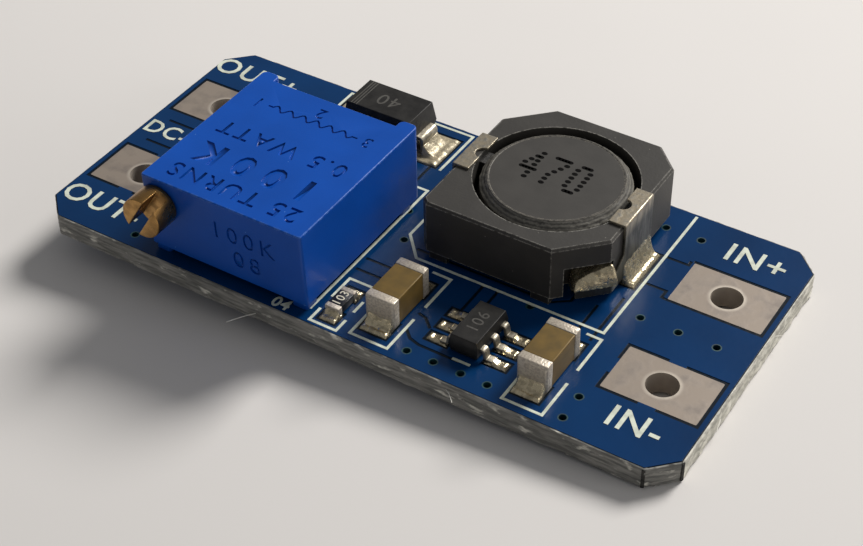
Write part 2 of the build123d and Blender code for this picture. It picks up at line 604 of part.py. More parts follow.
# The ferrite shield: a cut-cornered block round the core, hollowed where the terminals' wings sit
with BuildPart() as inductor_shield:
    with BuildSketch(Plane.XY.offset(TOP + COIL_BOTTOM)):
        with BuildLine():
            Polyline(
                (COIL_X0 + COIL_FRONT_CHAMFER, COIL_Y0),
                (COIL_X1 - COIL_CHAMFER, COIL_Y0),
                (COIL_X1, COIL_Y0 + COIL_CHAMFER),
                (COIL_X1, COIL_Y1 - COIL_BACK_CHAMFER),
                (COIL_X1 - COIL_BACK_CHAMFER, COIL_Y1),
                (COIL_X0 + COIL_CHAMFER, COIL_Y1),
                (COIL_X0, COIL_Y1 - COIL_CHAMFER),
                (COIL_X0, COIL_Y0 + COIL_FRONT_CHAMFER),
                close=True,
            )
        make_face()
    extrude(amount=COIL_TOP - COIL_BOTTOM)
    chamfer(faces().sort_by(Axis.Z)[-1].edges(), length=COIL_EDGE)
    with BuildSketch(Plane.XY.offset(TOP)):
        foot_step = COIL_FOOT_INSET + COIL_FOOT_SIZE / 2
        with Locations(
            (COIL_X0 + foot_step + COIL_FRONT_CHAMFER, COIL_Y0 + foot_step),
            (COIL_X1 - COIL_CHAMFER - foot_step, COIL_Y0 + foot_step),
            (COIL_X0 + COIL_CHAMFER + foot_step, COIL_Y1 - foot_step),
            (COIL_X1 - COIL_BACK_CHAMFER - foot_step, COIL_Y1 - foot_step),
        ):
            Rectangle(COIL_FOOT_SIZE, COIL_FOOT_SIZE)
    extrude(amount=COIL_BOTTOM)
    for side, start in ((RIGHT_SIDE, RIGHT_CHAMFER_START), (LEFT_SIDE, LEFT_CHAMFER_START)):
        with BuildSketch(chamfer_plane(side, start, COIL_BOTTOM)):
            with Locations((RECESS_START, -RECESS_DEPTH)):
                Rectangle(
                    RECESS_END - RECESS_START,
                    2 * RECESS_DEPTH,
                    align=(Align.MIN, Align.MIN),
                )
        extrude(amount=RECESS_TOP - COIL_BOTTOM, mode=Mode.SUBTRACT)
    with BuildSketch(Plane.XY.offset(TOP)):
        with Locations((COIL_BORE_X, COIL_BORE_Y)):
            Circle(COIL_BORE_DIAMETER / 2)
    extrude(amount=COIL_TOP, mode=Mode.SUBTRACT)
    with BuildSketch(Plane.XY.offset(TOP + COIL_BOTTOM)):
        with Locations((COIL_BORE_X, COIL_BORE_Y)):
            Rectangle(2 * COIL_BORE_DIAMETER, WIRE_SLOT_WIDTH, rotation=-45)
    extrude(amount=WIRE_SLOT_TOP - COIL_BOTTOM, mode=Mode.SUBTRACT)
finish(inductor_shield, "inductor_shield")

# The drum core: two flanges on a post, turned as one
with BuildPart() as inductor_core:
    core_z0 = TOP + CORE_BOTTOM
    core_z1 = TOP + COIL_TOP + CORE_RISE
    core_r = CORE_DIAMETER / 2
    post_r = CORE_POST_DIAMETER / 2
    with BuildSketch(Plane((COIL_BORE_X, COIL_BORE_Y, 0), x_dir=(1, 0, 0), z_dir=(0, -1, 0))):
        with BuildLine():
            Polyline(
                (0, core_z0),
                (core_r, core_z0),
                (core_r, core_z0 + CORE_BOTTOM_FLANGE),
                (post_r, core_z0 + CORE_BOTTOM_FLANGE),
                (post_r, core_z1 - CORE_TOP_FLANGE),
                (core_r, core_z1 - CORE_TOP_FLANGE),
                (core_r, core_z1 - CORE_RIM_BEVEL),
                (core_r - CORE_RIM_BEVEL, core_z1),
                (0, core_z1),
                close=True,
            )
        make_face()
    revolve(axis=Axis((COIL_BORE_X, COIL_BORE_Y, 0), (0, 0, 1)))
finish(inductor_core, "inductor_core")

# The copper winding between the flanges, with its two ends out to the wings
with BuildPart() as inductor_winding:
    winding_z0 = core_z0 + CORE_BOTTOM_FLANGE + WINDING_CLEARANCE
    winding_z1 = core_z1 - CORE_TOP_FLANGE - WINDING_CLEARANCE
    with BuildSketch(Plane.XY.offset(winding_z0)):
        with Locations((COIL_BORE_X, COIL_BORE_Y)):
            Circle(WINDING_DIAMETER / 2)
            Circle(post_r + WINDING_CLEARANCE, mode=Mode.SUBTRACT)
    extrude(amount=winding_z1 - winding_z0)
    fillet(edges().filter_by(GeomType.CIRCLE).group_by(SortBy.RADIUS)[-1], radius=WIRE_DIAMETER / 2)
    for out_x, out_y in ((1, -1), (-1, 1)):
        wire_start = WINDING_DIAMETER / 2 - WIRE_DIAMETER
        wire_plane = Plane(
            (
                COIL_BORE_X + out_x * wire_start * DIAGONAL,
                COIL_BORE_Y + out_y * wire_start * DIAGONAL,
                TOP + WIRE_HEIGHT,
            ),
            z_dir=(out_x, out_y, 0),
        )
        with BuildSketch(wire_plane):
            Circle(WIRE_DIAMETER / 2)
        extrude(amount=COIL_BORE_DIAMETER / 2 - wire_start + WIRE_REACH)
finish(inductor_winding, "inductor_winding")


def wing_cut_plane(side):
    """The upright plane along a terminal, its sketch x towards the wing and y up."""
    towards = side.from_local_coords(Vector(0, -1, 0)) - side.from_local_coords(Vector(0, 0, 0))
    outwards = side.from_local_coords(Vector(1, 0, 0)) - side.from_local_coords(Vector(0, 0, 0))
    return Plane(side.origin, x_dir=towards, z_dir=-outwards)


def terminal(name, side, start):
    """A folded tin-plated terminal: hook over the shield, upright plate, wing and shelf."""
    half = TERMINAL_WIDTH / 2
    with BuildPart() as clip:
        with BuildSketch(side.offset(SOLDER_THICK)):
            with Locations((0, 0)):
                Rectangle(TERMINAL_THICK, TERMINAL_WIDTH, align=(Align.MIN, Align.CENTER))
        extrude(amount=COIL_TOP + TERMINAL_THICK - SOLDER_THICK)
        with BuildSketch(side.offset(COIL_TOP)):
            with Locations((TERMINAL_THICK, 0)):
                Rectangle(
                    TERMINAL_HOOK + TERMINAL_THICK,
                    TERMINAL_WIDTH,
                    align=(Align.MAX, Align.CENTER),
                )
            with Locations((-TERMINAL_HOOK, 0)):
                Circle(TERMINAL_NOTCH_DIAMETER / 2, mode=Mode.SUBTRACT)
        extrude(amount=TERMINAL_THICK)
        hook_edges = clip.edges().group_by(Axis.Z)[-1]
        fillet(hook_edges.sort_by(Axis(side.origin, side.x_dir))[-1], radius=TERMINAL_RADIUS)
        with BuildSketch(side.offset(WING_BOTTOM)):
            with Locations((0, -half)):
                Rectangle(TERMINAL_THICK, start - half, align=(Align.MIN, Align.MAX))
        extrude(amount=TERMINAL_SHOULDER - WING_BOTTOM)
        with BuildSketch(chamfer_plane(side, start, WING_BOTTOM)):
            Rectangle(WING_LENGTH, TERMINAL_THICK, align=(Align.MIN, Align.MIN))
            with BuildLine():
                Polyline(
                    (0, 0),
                    (0, TERMINAL_THICK),
                    (-TERMINAL_THICK * DIAGONAL, TERMINAL_THICK * DIAGONAL),
                    close=True,
                )
            make_face()
        extrude(amount=WING_TOP - WING_BOTTOM)
        with BuildSketch(wing_cut_plane(side)):
            Polygon(
                (half, TERMINAL_SHOULDER),
                (start, WING_TOP),
                (start + 1, WING_TOP),
                (start + 1, TERMINAL_SHOULDER + 1),
                (half, TERMINAL_SHOULDER + 1),
                align=None,
            )
        extrude(amount=2 * TERMINAL_THICK, both=True, mode=Mode.SUBTRACT)
        with BuildSketch(chamfer_plane(side, start, WING_SHELF_HEIGHT)):
            with Locations((TERMINAL_THICK, TERMINAL_THICK / 2)):
                Rectangle(
                    WING_LENGTH - TERMINAL_THICK,
                    WING_SHELF_DEPTH + TERMINAL_THICK / 2,
                    align=(Align.MIN, Align.MAX),
                )
        extrude(amount=TERMINAL_THICK)
    finish(clip, name)
    return clip


terminal_right = terminal("inductor_terminal_right", RIGHT_SIDE, RIGHT_CHAMFER_START)
terminal_left = terminal("inductor_terminal_left", LEFT_SIDE, LEFT_CHAMFER_START)

# Two dabs of adhesive in the gap hold the core in the shield
with BuildPart() as inductor_adhesive:
    with BuildSketch(Plane.XY.offset(TOP + COIL_TOP - ADHESIVE_DROP - ADHESIVE_DEPTH)):
        with Locations((COIL_BORE_X, COIL_BORE_Y)):
            Circle(COIL_BORE_DIAMETER / 2)
            Circle(CORE_DIAMETER / 2, mode=Mode.SUBTRACT)
            Rectangle(2 * COIL_BORE_DIAMETER, ADHESIVE_SPAN, mode=Mode.INTERSECT)
    extrude(amount=ADHESIVE_DEPTH)
finish(inductor_adhesive, "inductor_adhesive")


def solder_joint(side, under, reach, height, ramp_width, bed_width):
    """One joint: a thin bed under the terminal and a hollow slope outside it.

    side is a plane on the board at the terminal's outer face, with x outwards and z up.
    """
    upright = Plane(side.origin, x_dir=side.x_dir, z_dir=side.x_dir.cross(Vector(0, 0, 1)))
    with BuildPart() as joint:
        with BuildSketch(upright):
            with BuildLine():
                Polyline((reach, SOLDER_THICK), (reach, 0), (0, 0), (0, height))
                Bezier(
                    (0, height),
                    (reach * SOLDER_STEEP_SHARE, height * SOLDER_HOLLOW_SHARE),
                    (reach * SOLDER_HOLLOW_SHARE, SOLDER_THICK),
                    (reach, SOLDER_THICK),
                )
            make_face()
        extrude(amount=ramp_width / 2, both=True)
        with BuildSketch(side):
            with Locations((-under, 0)):
                Rectangle(under + reach, bed_width, align=(Align.MIN, Align.CENTER))
        extrude(amount=SOLDER_THICK)
    return joint.part


def stepped_out(side, distance):
    """The same plane, moved outwards along its x axis."""
    return Plane(
        side.from_local_coords(Vector(distance, 0, 0)),
        x_dir=side.x_dir,
        z_dir=(0, 0, 1),
    )


# The terminals' joints on the board
terminal_joints = [
    solder_joint(
        stepped_out(side, TERMINAL_THICK), TERMINAL_THICK, TERMINAL_SOLDER_REACH,
        TERMINAL_SOLDER_HEIGHT, TERMINAL_WIDTH, TERMINAL_WIDTH,
    )
    for side in (RIGHT_SIDE, LEFT_SIDE)
]
with BuildPart() as inductor_solder:
    add(terminal_joints)
finish(inductor_solder, "inductor_solder")

# The winding's ends, soldered into the wings' troughs
with BuildPart() as winding_solder:
    for side, start in ((RIGHT_SIDE, RIGHT_CHAMFER_START), (LEFT_SIDE, LEFT_CHAMFER_START)):
        trough = chamfer_plane(side, start, 0)
        section = Plane(
            trough.from_local_coords(Vector(TERMINAL_THICK, 0, 0)),
            x_dir=trough.y_dir,
            z_dir=trough.x_dir,
        )
        shelf_top = WING_SHELF_HEIGHT + TERMINAL_THICK
        with BuildSketch(section):
            Polygon(
                (-WING_SHELF_DEPTH, shelf_top),
                (0, shelf_top),
                (0, WING_TOP),
                (-WING_SHELF_DEPTH, WING_SOLDER_TOP),
                align=None,
            )
        extrude(amount=WING_LENGTH - TERMINAL_THICK)
    add(inductor_winding.part, mode=Mode.SUBTRACT)
finish(winding_solder, "winding_solder")


# Diode: two bent leads with the chip between them, moulded into one body
DIODE_LEFT_FRAME = Plane((DIODE_X, DIODE_Y, TOP), x_dir=(-1, 0, 0), z_dir=(0, 0, 1))
DIODE_RIGHT_FRAME = Plane((DIODE_X, DIODE_Y, TOP), x_dir=(1, 0, 0), z_dir=(0, 0, 1))


def section_plane(frame):
    """The upright plane through a frame's x axis, its sketch x outwards and y up."""
    return Plane(frame.origin, x_dir=frame.x_dir, z_dir=frame.x_dir.cross(Vector(0, 0, 1)))


def diode_lead(name, frame, inside_z):
    """A flat lead: from the chip, out of the body's end, down and back under it."""
    out_x = DIODE_LENGTH / 2 + DIODE_LEAD_REACH - DIODE_LEAD_THICK / 2
    foot_z = SOLDER_THICK + DIODE_LEAD_THICK / 2
    with BuildPart() as lead:
        with BuildSketch(section_plane(frame)):
            with BuildLine():
                FilletPolyline(
                    (-DIODE_CHIP_SIZE / 2, inside_z),
                    (DIODE_LENGTH / 2 - DIODE_LEAD_INSIDE, inside_z),
                    (DIODE_LENGTH / 2 - DIODE_LEAD_INSIDE / 2, DIODE_PARTING),
                    (out_x, DIODE_PARTING),
                    (out_x, foot_z),
                    (out_x - DIODE_LEAD_FOOT, foot_z),
                    radius=DIODE_LEAD_RADIUS,
                )
            trace(line_width=DIODE_LEAD_THICK)
        extrude(amount=DIODE_LEAD_WIDTH / 2, both=True)
    finish(lead, name)
    return lead


chip_gap = (DIODE_CHIP_THICK + DIODE_LEAD_THICK) / 2
diode_lead_anode = diode_lead("diode_lead_anode", DIODE_RIGHT_FRAME, DIODE_PARTING + chip_gap)
diode_lead_cathode = diode_lead("diode_lead_cathode", DIODE_LEFT_FRAME, DIODE_PARTING - chip_gap)

with BuildPart() as diode_chip:
    with BuildSketch(Plane.XY.offset(TOP + DIODE_PARTING - DIODE_CHIP_THICK / 2)):
        with Locations((DIODE_X, DIODE_Y)):
            Rectangle(DIODE_CHIP_SIZE, DIODE_CHIP_SIZE)
    extrude(amount=DIODE_CHIP_THICK)
finish(diode_chip, "diode_chip")


def moulded_block(place, size_x, size_y, z0, parting, z1, draft):
    """A moulded block that tapers up and down from its parting line."""
    with BuildPart() as block:
        for end in (z1, z0):
            with BuildSketch(Plane.XY.offset(parting)):
                with Locations(place):
                    Rectangle(size_x, size_y)
            with BuildSketch(Plane.XY.offset(end)):
                with Locations(place):
                    Rectangle(size_x - 2 * draft, size_y - 2 * draft)
            loft()
    return block.part


diode_block = moulded_block(
    (DIODE_X, DIODE_Y), DIODE_LENGTH, DIODE_WIDTH,
    TOP + SOLDER_THICK + DIODE_LEAD_THICK + DIODE_STANDOFF, TOP + DIODE_PARTING,
    TOP + DIODE_TOP, DIODE_DRAFT,
)
with BuildPart() as diode_body:
    add(diode_block)
    for inner_piece in (diode_lead_anode, diode_lead_cathode, diode_chip):
        add(inner_piece.part, mode=Mode.SUBTRACT)
finish(diode_body, "diode_body")

diode_joints = [
    solder_joint(
        stepped_out(frame, DIODE_LENGTH / 2 + DIODE_LEAD_REACH), DIODE_LEAD_FOOT,
        DIODE_SOLDER_REACH, DIODE_SOLDER_HEIGHT, DIODE_LEAD_WIDTH, DIODE_SOLDER_WIDTH,
    )
    for frame in (DIODE_LEFT_FRAME, DIODE_RIGHT_FRAME)
]
with BuildPart() as diode_solder:
    add(diode_joints)
finish(diode_solder, "diode_solder")


# Regulator: six gull-wing leads round the chip, moulded into one body
def lead_frames():
    """One frame for each lead, its origin under the body's middle, x outwards."""
    frames = []
    for outwards in (-1, 1):
        for step in (-1, 0, 1):
            origin = (REG_X, REG_Y + outwards * step * REG_LEAD_PITCH, TOP)
            frames.append(Plane(origin, x_dir=(outwards, 0, 0), z_dir=(0, 0, 1)))
    return frames


def regulator_lead(name, frame):
    """A gull-wing lead."""
    foot_z = SOLDER_THICK + REG_LEAD_THICK / 2
    knee_x = REG_LEAD_SPAN / 2 - REG_LEAD_FOOT
    with BuildPart() as lead:
        with BuildSketch(section_plane(frame)):
            with BuildLine():
                FilletPolyline(
                    (REG_WIDTH / 2 - REG_LEAD_INSIDE, REG_PARTING),
                    (knee_x - REG_LEAD_THICK / 2, REG_PARTING),
                    (knee_x, foot_z),
                    (REG_LEAD_SPAN / 2, foot_z),
                    radius=REG_LEAD_RADIUS,
                )
            trace(line_width=REG_LEAD_THICK)
        extrude(amount=REG_LEAD_WIDTH / 2, both=True)
    finish(lead, name)
    return lead


regulator_leads = []
for lead_number, frame in enumerate(lead_frames(), start=1):
    regulator_leads.append(regulator_lead(f"regulator_lead_{lead_number}", frame))

with BuildPart() as regulator_chip:
    with BuildSketch(Plane.XY.offset(TOP + REG_PARTING - REG_CHIP_THICK / 2)):
        with Locations((REG_X, REG_Y)):
            Rectangle(REG_CHIP_WIDTH, REG_CHIP_LENGTH)
    extrude(amount=REG_CHIP_THICK)
finish(regulator_chip, "regulator_chip")

regulator_block = moulded_block(
    (REG_X, REG_Y), REG_WIDTH, REG_LENGTH,
    TOP + REG_STANDOFF, TOP + REG_PARTING, TOP + REG_TOP, REG_DRAFT,
)
with BuildPart() as regulator_body:
    add(regulator_block)
    for lead in regulator_leads:
        add(lead.part, mode=Mode.SUBTRACT)
    add(regulator_chip.part, mode=Mode.SUBTRACT)
finish(regulator_body, "regulator_body")

regulator_joints = [
    solder_joint(
        stepped_out(frame, REG_LEAD_SPAN / 2), REG_LEAD_FOOT,
        REG_SOLDER_REACH, REG_SOLDER_HEIGHT, REG_SOLDER_WIDTH, REG_SOLDER_WIDTH,
    )
    for frame in lead_frames()
]
with BuildPart() as regulator_solder:
    add(regulator_joints)
finish(regulator_solder, "regulator_solder")


# Chip parts: a block with two metal ends that stand a little proud, soldered at both ends
def chip_part(name, place, length, width, height, end, proud, radius, reach, rise, bed_width):
    """A two-ended chip part along y: body, front end, back end and its solder."""
    x, y = place
    z0 = TOP + SOLDER_THICK
    with BuildPart() as body:
        with BuildSketch(Plane.XY.offset(z0 + proud)):
            with Locations((x, y)):
                Rectangle(width - 2 * proud, length - 2 * end)
        extrude(amount=height - 2 * proud)
    finish(body, name + "_body")
    for end_name, towards in (("front", -1), ("back", 1)):
        with BuildPart() as metal_end:
            with BuildSketch(Plane.XY.offset(z0)):
                with Locations((x, y + towards * (length - end) / 2)):
                    Rectangle(width, end)
            extrude(amount=height)
            outer_face = metal_end.faces().sort_by(Axis.Y)[0 if towards < 0 else -1]
            fillet(outer_face.edges(), radius=radius)
        finish(metal_end, f"{name}_end_{end_name}")
    ends = [
        Plane((x, y + towards * length / 2, TOP), x_dir=(0, towards, 0), z_dir=(0, 0, 1))
        for towards in (-1, 1)
    ]
    joints = [solder_joint(side, end, reach, rise, bed_width, bed_width) for side in ends]
    with BuildPart() as solder:
        add(joints)
    finish(solder, name + "_solder")


for cap_name, cap_place in (
    ("input_capacitor", (INPUT_CAP_X, INPUT_CAP_Y)),
    ("output_capacitor", (OUTPUT_CAP_X, OUTPUT_CAP_Y)),
):
    chip_part(
        cap_name, cap_place, CAP_LENGTH, CAP_WIDTH, CAP_HEIGHT, CAP_END, CAP_END_PROUD,
        CAP_EDGE_RADIUS, CAP_SOLDER_REACH, CAP_SOLDER_HEIGHT, CAP_SOLDER_WIDTH,
    )
chip_part(
    "resistor", (RES_X, RES_Y), RES_LENGTH, RES_WIDTH, RES_HEIGHT, RES_END, RES_END_PROUD,
    RES_EDGE_RADIUS, RES_SOLDER_REACH, RES_SOLDER_HEIGHT, RES_SOLDER_WIDTH,
)
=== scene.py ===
"""Adjustable boost converter module: every surface's finish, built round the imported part.

Shapes are worked out in millimetres in the part's own frame and written in metres.
"""
import math

import bmesh
import bpy
from bpy.props import FloatProperty, FloatVectorProperty, PointerProperty
from mathutils import Matrix, Vector, noise


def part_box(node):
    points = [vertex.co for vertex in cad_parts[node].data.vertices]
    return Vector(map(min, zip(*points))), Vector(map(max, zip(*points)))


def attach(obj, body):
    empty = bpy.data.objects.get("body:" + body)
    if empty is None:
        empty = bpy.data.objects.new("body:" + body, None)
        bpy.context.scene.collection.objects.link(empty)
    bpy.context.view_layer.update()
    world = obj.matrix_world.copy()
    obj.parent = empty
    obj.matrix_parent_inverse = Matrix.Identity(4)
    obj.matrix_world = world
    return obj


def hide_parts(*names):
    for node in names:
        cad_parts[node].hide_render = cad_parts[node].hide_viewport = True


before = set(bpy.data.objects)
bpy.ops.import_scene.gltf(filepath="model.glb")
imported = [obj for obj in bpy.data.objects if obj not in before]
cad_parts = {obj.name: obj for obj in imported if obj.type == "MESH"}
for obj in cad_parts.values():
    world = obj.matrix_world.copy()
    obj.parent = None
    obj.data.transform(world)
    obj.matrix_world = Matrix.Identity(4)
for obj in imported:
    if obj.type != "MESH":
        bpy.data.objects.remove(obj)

bl_info = {
    "name": "Boost converter module", "version": (1, 0, 0), "blender": (4, 5, 0),
    "location": "3D View > Sidebar > Module",
    "description": "Finishes the circuit board, trimmer, inductor and small parts of a boost converter",
    "category": "Object",
}

MM = 0.001
BODY = "module"


def linear(code):
    """A colour written as sRGB hex, as linear red, green, blue and full opacity."""
    parts = [int(code[i:i + 2], 16) / 255 for i in (1, 3, 5)]
    return (*[p / 12.92 if p <= 0.04045 else ((p + 0.055) / 1.055) ** 2.4 for p in parts], 1.0)


def node_box(name):
    """The lowest and highest corner of a node of the part, in millimetres."""
    low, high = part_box(name)
    return low / MM, high / MM


def middle(name):
    """The middle of a node's box, in millimetres."""
    low, high = node_box(name)
    return (low + high) / 2


# Where the pieces stand, read from the part
BOARD_LOW, BOARD_HIGH = node_box("wiring_board")
TOP = BOARD_HIGH.z
SHIELD_LOW, SHIELD_HIGH = node_box("inductor_shield")
CORE_LOW, CORE_HIGH = node_box("inductor_core")
TRIM_LOW, TRIM_HIGH = node_box("trimmer_housing")
LAND_NODES = ("vin_plus_land", "vin_minus_land", "vout_plus_land", "vout_minus_land")
PIN_NODES = ("trimmer_pin_1", "trimmer_pin_2", "trimmer_pin_3")

# Board sizes that the part's mesh doesn't name
CORNER_CUT = 1.25
VIA_DIAMETER = 0.44
VIA_PLACES = (
    (10.25, 6.74), (12.2, 6.74), (12.2, 0.06), (14.19, 0.06), (16.18, 0.06),
    (12.24, -6.12), (12.24, -7.65), (3.93, -7.65), (5.39, -7.65), (6.88, -7.65),
    (8.3, -7.65), (7.33, -1.96), (-1.57, 1.1), (-0.53, -0.93), (-12.35, -7.65),
)
POUR_RISE = 0.025
POUR_MARGIN = 0.05
GAP_WIDTH = 0.17
INK_RISE = 0.012
LAND_HOLE_RADIUS = 0.8
PIN_LAND_RADIUS = 0.85

# Inductor terminals: where they start and the frame of their wings
TERMINAL_THICK = 0.15
TERMINAL_WIDTH = 2.9
TERMINAL_Y = 3.2
SHIELD_CHAMFER = 2.1
WING_LENGTH = 1.75
WING_SHELF_DEPTH = 0.75
WING_SHELF_TOP = 0.65
WING_LIP_TOP = 1.0

# Trimmer's front face leans by this much from foot to top
TRIM_FRONT_DRAFT = 0.18

# The drum's rim, where its face is broken up and shows how it was turned
RIM_PIT_RADIUS = 3.46
RIM_PIT_DEPTH = 0.37
RIM_TURNED_RADII = (3.4, 3.5)

# The radius of the trimmer's pin wire, and the share of a font's size that its capitals take
PIN_WIRE_RADIUS = 0.255
CAPITAL_SHARE = 0.7


def colour(name, description, code):
    """A colour property, its default written as sRGB hex."""
    return FloatVectorProperty(
        name=name, description=description, default=linear(code)[:3], size=3, subtype="COLOR",
        min=0, max=1)


def length(name, description, size, least):
    """A length property, its sizes in millimetres."""
    return FloatProperty(
        name=name, description=description, default=size * MM, unit="LENGTH",
        subtype="DISTANCE", min=least * MM)


class BoardLook(bpy.types.PropertyGroup):
    mask_colour: colour("Mask over copper", "Solder mask where copper lies under it", "#03305c")
    gap_colour: colour("Mask over laminate", "Solder mask where the copper is etched away", "#03121f")
    ink_colour: colour("Printed marks", "The ink of the outlines and labels", "#d6dccb")
    line_width: length("Line width", "Width of a printed outline", 0.15, 0.05)
    label_height: length(
        "Label height", "Height of the printed capitals beside the wire lands", 1.34, 0.5)


class TrimmerLook(bpy.types.PropertyGroup):
    plastic_colour: colour("Plastic", "The moulded housing", "#0b4aa6")
    engraving_depth: length("Engraving depth", "How deep the moulded marks are", 0.09, 0.01)
    brass_colour: colour("Brass", "The adjusting screw", "#ab8450")


class InductorLook(bpy.types.PropertyGroup):
    ferrite_colour: colour("Ferrite", "The pressed and ground shield", "#393734")
    worn_colour: colour("Worn edge", "Ferrite where an edge is rubbed", "#918e87")
    dot_radius: length("Dot radius", "Half the length of one printed dot of the value marks", 0.16, 0.02)


class SolderLook(bpy.types.PropertyGroup):
    solder_colour: colour("Solder", "Bright tin solder", "#d6c8a8")
    grid_step: length("Grid step", "Spacing of the mesh over a solder joint", 0.05, 0.02)


class StageLook(bpy.types.PropertyGroup):
    floor_colour: colour("Floor", "The pale table", "#dcd9d6")
    key_power: FloatProperty(
        name="Key light", description="Power of the large light behind the module",
        default=3.35, unit="POWER", min=0)
    sky_strength: FloatProperty(
        name="Room light", description="Strength of the light from all round", default=0.25, min=0)


class ModuleLook(bpy.types.PropertyGroup):
    board: PointerProperty(type=BoardLook)
    trimmer: PointerProperty(type=TrimmerLook)
    inductor: PointerProperty(type=InductorLook)
    solder: PointerProperty(type=SolderLook)
    stage: PointerProperty(type=StageLook)


# Nodes and materials

NODE_FAMILIES = {"SHADER": "ShaderNode", "GEOMETRY": "GeometryNode"}


def add_node(tree, kind, inputs=None, **settings):
    """Add one node. Settings are its properties; inputs are values or links, by socket name or number."""
    family = "" if kind.startswith("NodeGroup") else NODE_FAMILIES[tree.type]
    node = tree.nodes.new(family + kind)
    for key, value in settings.items():
        setattr(node, key, value)
    feed(tree, node, inputs or {})
    return node


def feed(tree, node, inputs):
    """Set or link a node's inputs. A node given as a value is linked from its first output in use."""
    for key, value in inputs.items():
        if isinstance(key, int):
            socket = node.inputs[key]
        else:
            socket = next(s for s in node.inputs if s.enabled and s.name == key)
        if isinstance(value, bpy.types.Node):
            value = next(s for s in value.outputs if s.enabled)
        if isinstance(value, bpy.types.NodeSocket):
            tree.links.new(value, socket)
        else:
            socket.default_value = value


def start_material(name, **constants):
    """A new material with its shader's constants set, and the place on the piece in millimetres."""
    material = bpy.data.materials.new(name)
    material.use_nodes = True
    tree = material.node_tree
    for key, value in constants.items():
        tree.nodes["Principled BSDF"].inputs[key.replace("_", " ")].default_value = value
    place = add_node(
        tree, "Mapping",
        {"Vector": add_node(tree, "TexCoord").outputs["Object"], "Scale": (1 / MM,) * 3})
    return material, tree, place


def dress(material, base, layers, height=None, strength=0.6, depth=0.01, gloss=None):
    """Lay colours over a base, each by its mask, and give the surface its relief and its gloss.

    The depth is in millimetres. The gloss is a mask with the roughness at its lowest and highest.
    """
    tree = material.node_tree
    shade = linear(base) if isinstance(base, str) else base
    for mask, over in layers:
        over = linear(over) if isinstance(over, str) else over
        shade = add_node(tree, "Mix", {"Factor": mask, "A": shade, "B": over}, data_type="RGBA")
    surface = {"Base Color": shade}
    if height:
        surface["Normal"] = add_node(
            tree, "Bump", {"Height": height, "Strength": strength, "Distance": depth * MM})
    if gloss:
        mask, low, high = gloss
        surface["Roughness"] = add_node(tree, "MapRange", {"Value": mask, "To Min": low, "To Max": high})
    feed(tree, tree.nodes["Principled BSDF"], surface)
    return material


def mottle(place, size, low=0.35, high=0.65, detail=3.0, stretch=(1, 1, 1)):
    """A mask from 0 to 1 of soft patches about this many millimetres across."""
    tree = place.id_data
    vector = add_node(tree, "Mapping", {"Vector": place, "Scale": stretch})
    patches = add_node(tree, "TexNoise", {"Vector": vector, "Scale": 1 / size, "Detail": detail})
    return add_node(tree, "MapRange", {"Value": patches, "From Min": low, "From Max": high})


def specks(place, spacing, radius):
    """A mask of small round specks, one about every few millimetres."""
    tree = place.id_data
    cells = add_node(tree, "TexVoronoi", {"Vector": place, "Scale": 1 / spacing})
    return add_node(
        tree, "MapRange",
        {"Value": cells, "From Min": radius / spacing, "From Max": 0.6 * radius / spacing})


def worn_edges(place, radius, size, low, high):
    """A mask of the edges that rubbing has reached, broken up by soft patches."""
    tree = place.id_data
    rounded = add_node(tree, "Bevel", {"Radius": radius * MM}, samples=6)
    true_normal = add_node(tree, "NewGeometry").outputs["Normal"]
    alike = add_node(tree, "VectorMath", {0: rounded, 1: true_normal}, operation="DOT_PRODUCT")
    edge = add_node(
        tree, "MapRange",
        {"Value": alike.outputs["Value"], "From Min": 0.995, "From Max": 0.93})
    return add_node(tree, "Math", {0: edge, 1: mottle(place, size, low, high)}, operation="MULTIPLY")


def with_alpha(colour, share=1.0):
    """A property's colour as red, green, blue, opacity, lightened or darkened by a share."""
    return (*[min(1.0, c * share) for c in colour], 1.0)


def mask_over_copper(look):
    """Glossy liquid solder mask over copper: deep clear blue, faintly clouded, with orange peel."""
    material, tree, place = start_material(
        "solder_mask_over_copper", Roughness=0.24, Specular_IOR_Level=0.22)
    peel = add_node(tree, "TexNoise", {"Vector": place, "Scale": 1 / 0.4, "Detail": 2.0})
    return dress(material, with_alpha(look.mask_colour, 0.82), (
        (mottle(place, 5.0, 0.3, 0.7), with_alpha(look.mask_colour, 1.12)),
        (specks(place, 2.6, 0.035), "#8fa3b8")), peel, 0.6, 0.008)


def mask_over_laminate(look):
    """The same mask over bare laminate: nearly black blue, with the glass weave showing through."""
    material, tree, place = start_material(
        "solder_mask_over_laminate", Roughness=0.3, Specular_IOR_Level=0.2)
    threads = [
        add_node(
            tree, "TexWave", {"Vector": place, "Scale": 1 / 1.6, "Distortion": 0.4}, bands_direction=way)
        for way in "XY"
    ]
    weave = add_node(tree, "Math", {0: threads[0], 1: threads[1]}, operation="MULTIPLY")
    return dress(
        material, with_alpha(look.gap_colour, 0.85), [(weave, with_alpha(look.gap_colour, 1.25))],
        weave, 0.5, 0.01)


def cut_laminate(name, dark, light, chip_share):
    """Cut glass-epoxy: grey-beige layers, pale torn fibres and rough white chips."""
    material, tree, place = start_material(name, Roughness=0.72)
    layers = mottle(place, 0.16, 0.38, 0.66, stretch=(0.12, 0.12, 1.0))
    chips = mottle(place, 0.35, chip_share, chip_share + 0.12, detail=6.0, stretch=(0.4, 0.4, 1.0))
    return dress(material, dark, ((layers, light), (chips, "#d9d6ca")), layers, 0.8, 0.03)


def printed_ink(look):
    """Epoxy printing ink: matt greenish white, a little thin in places."""
    material, _, place = start_material("printed_ink", Roughness=0.6)
    return dress(material, with_alpha(look.ink_colour, 0.72), [
        (mottle(place, 0.5, 0.35, 0.6), with_alpha(look.ink_colour))])


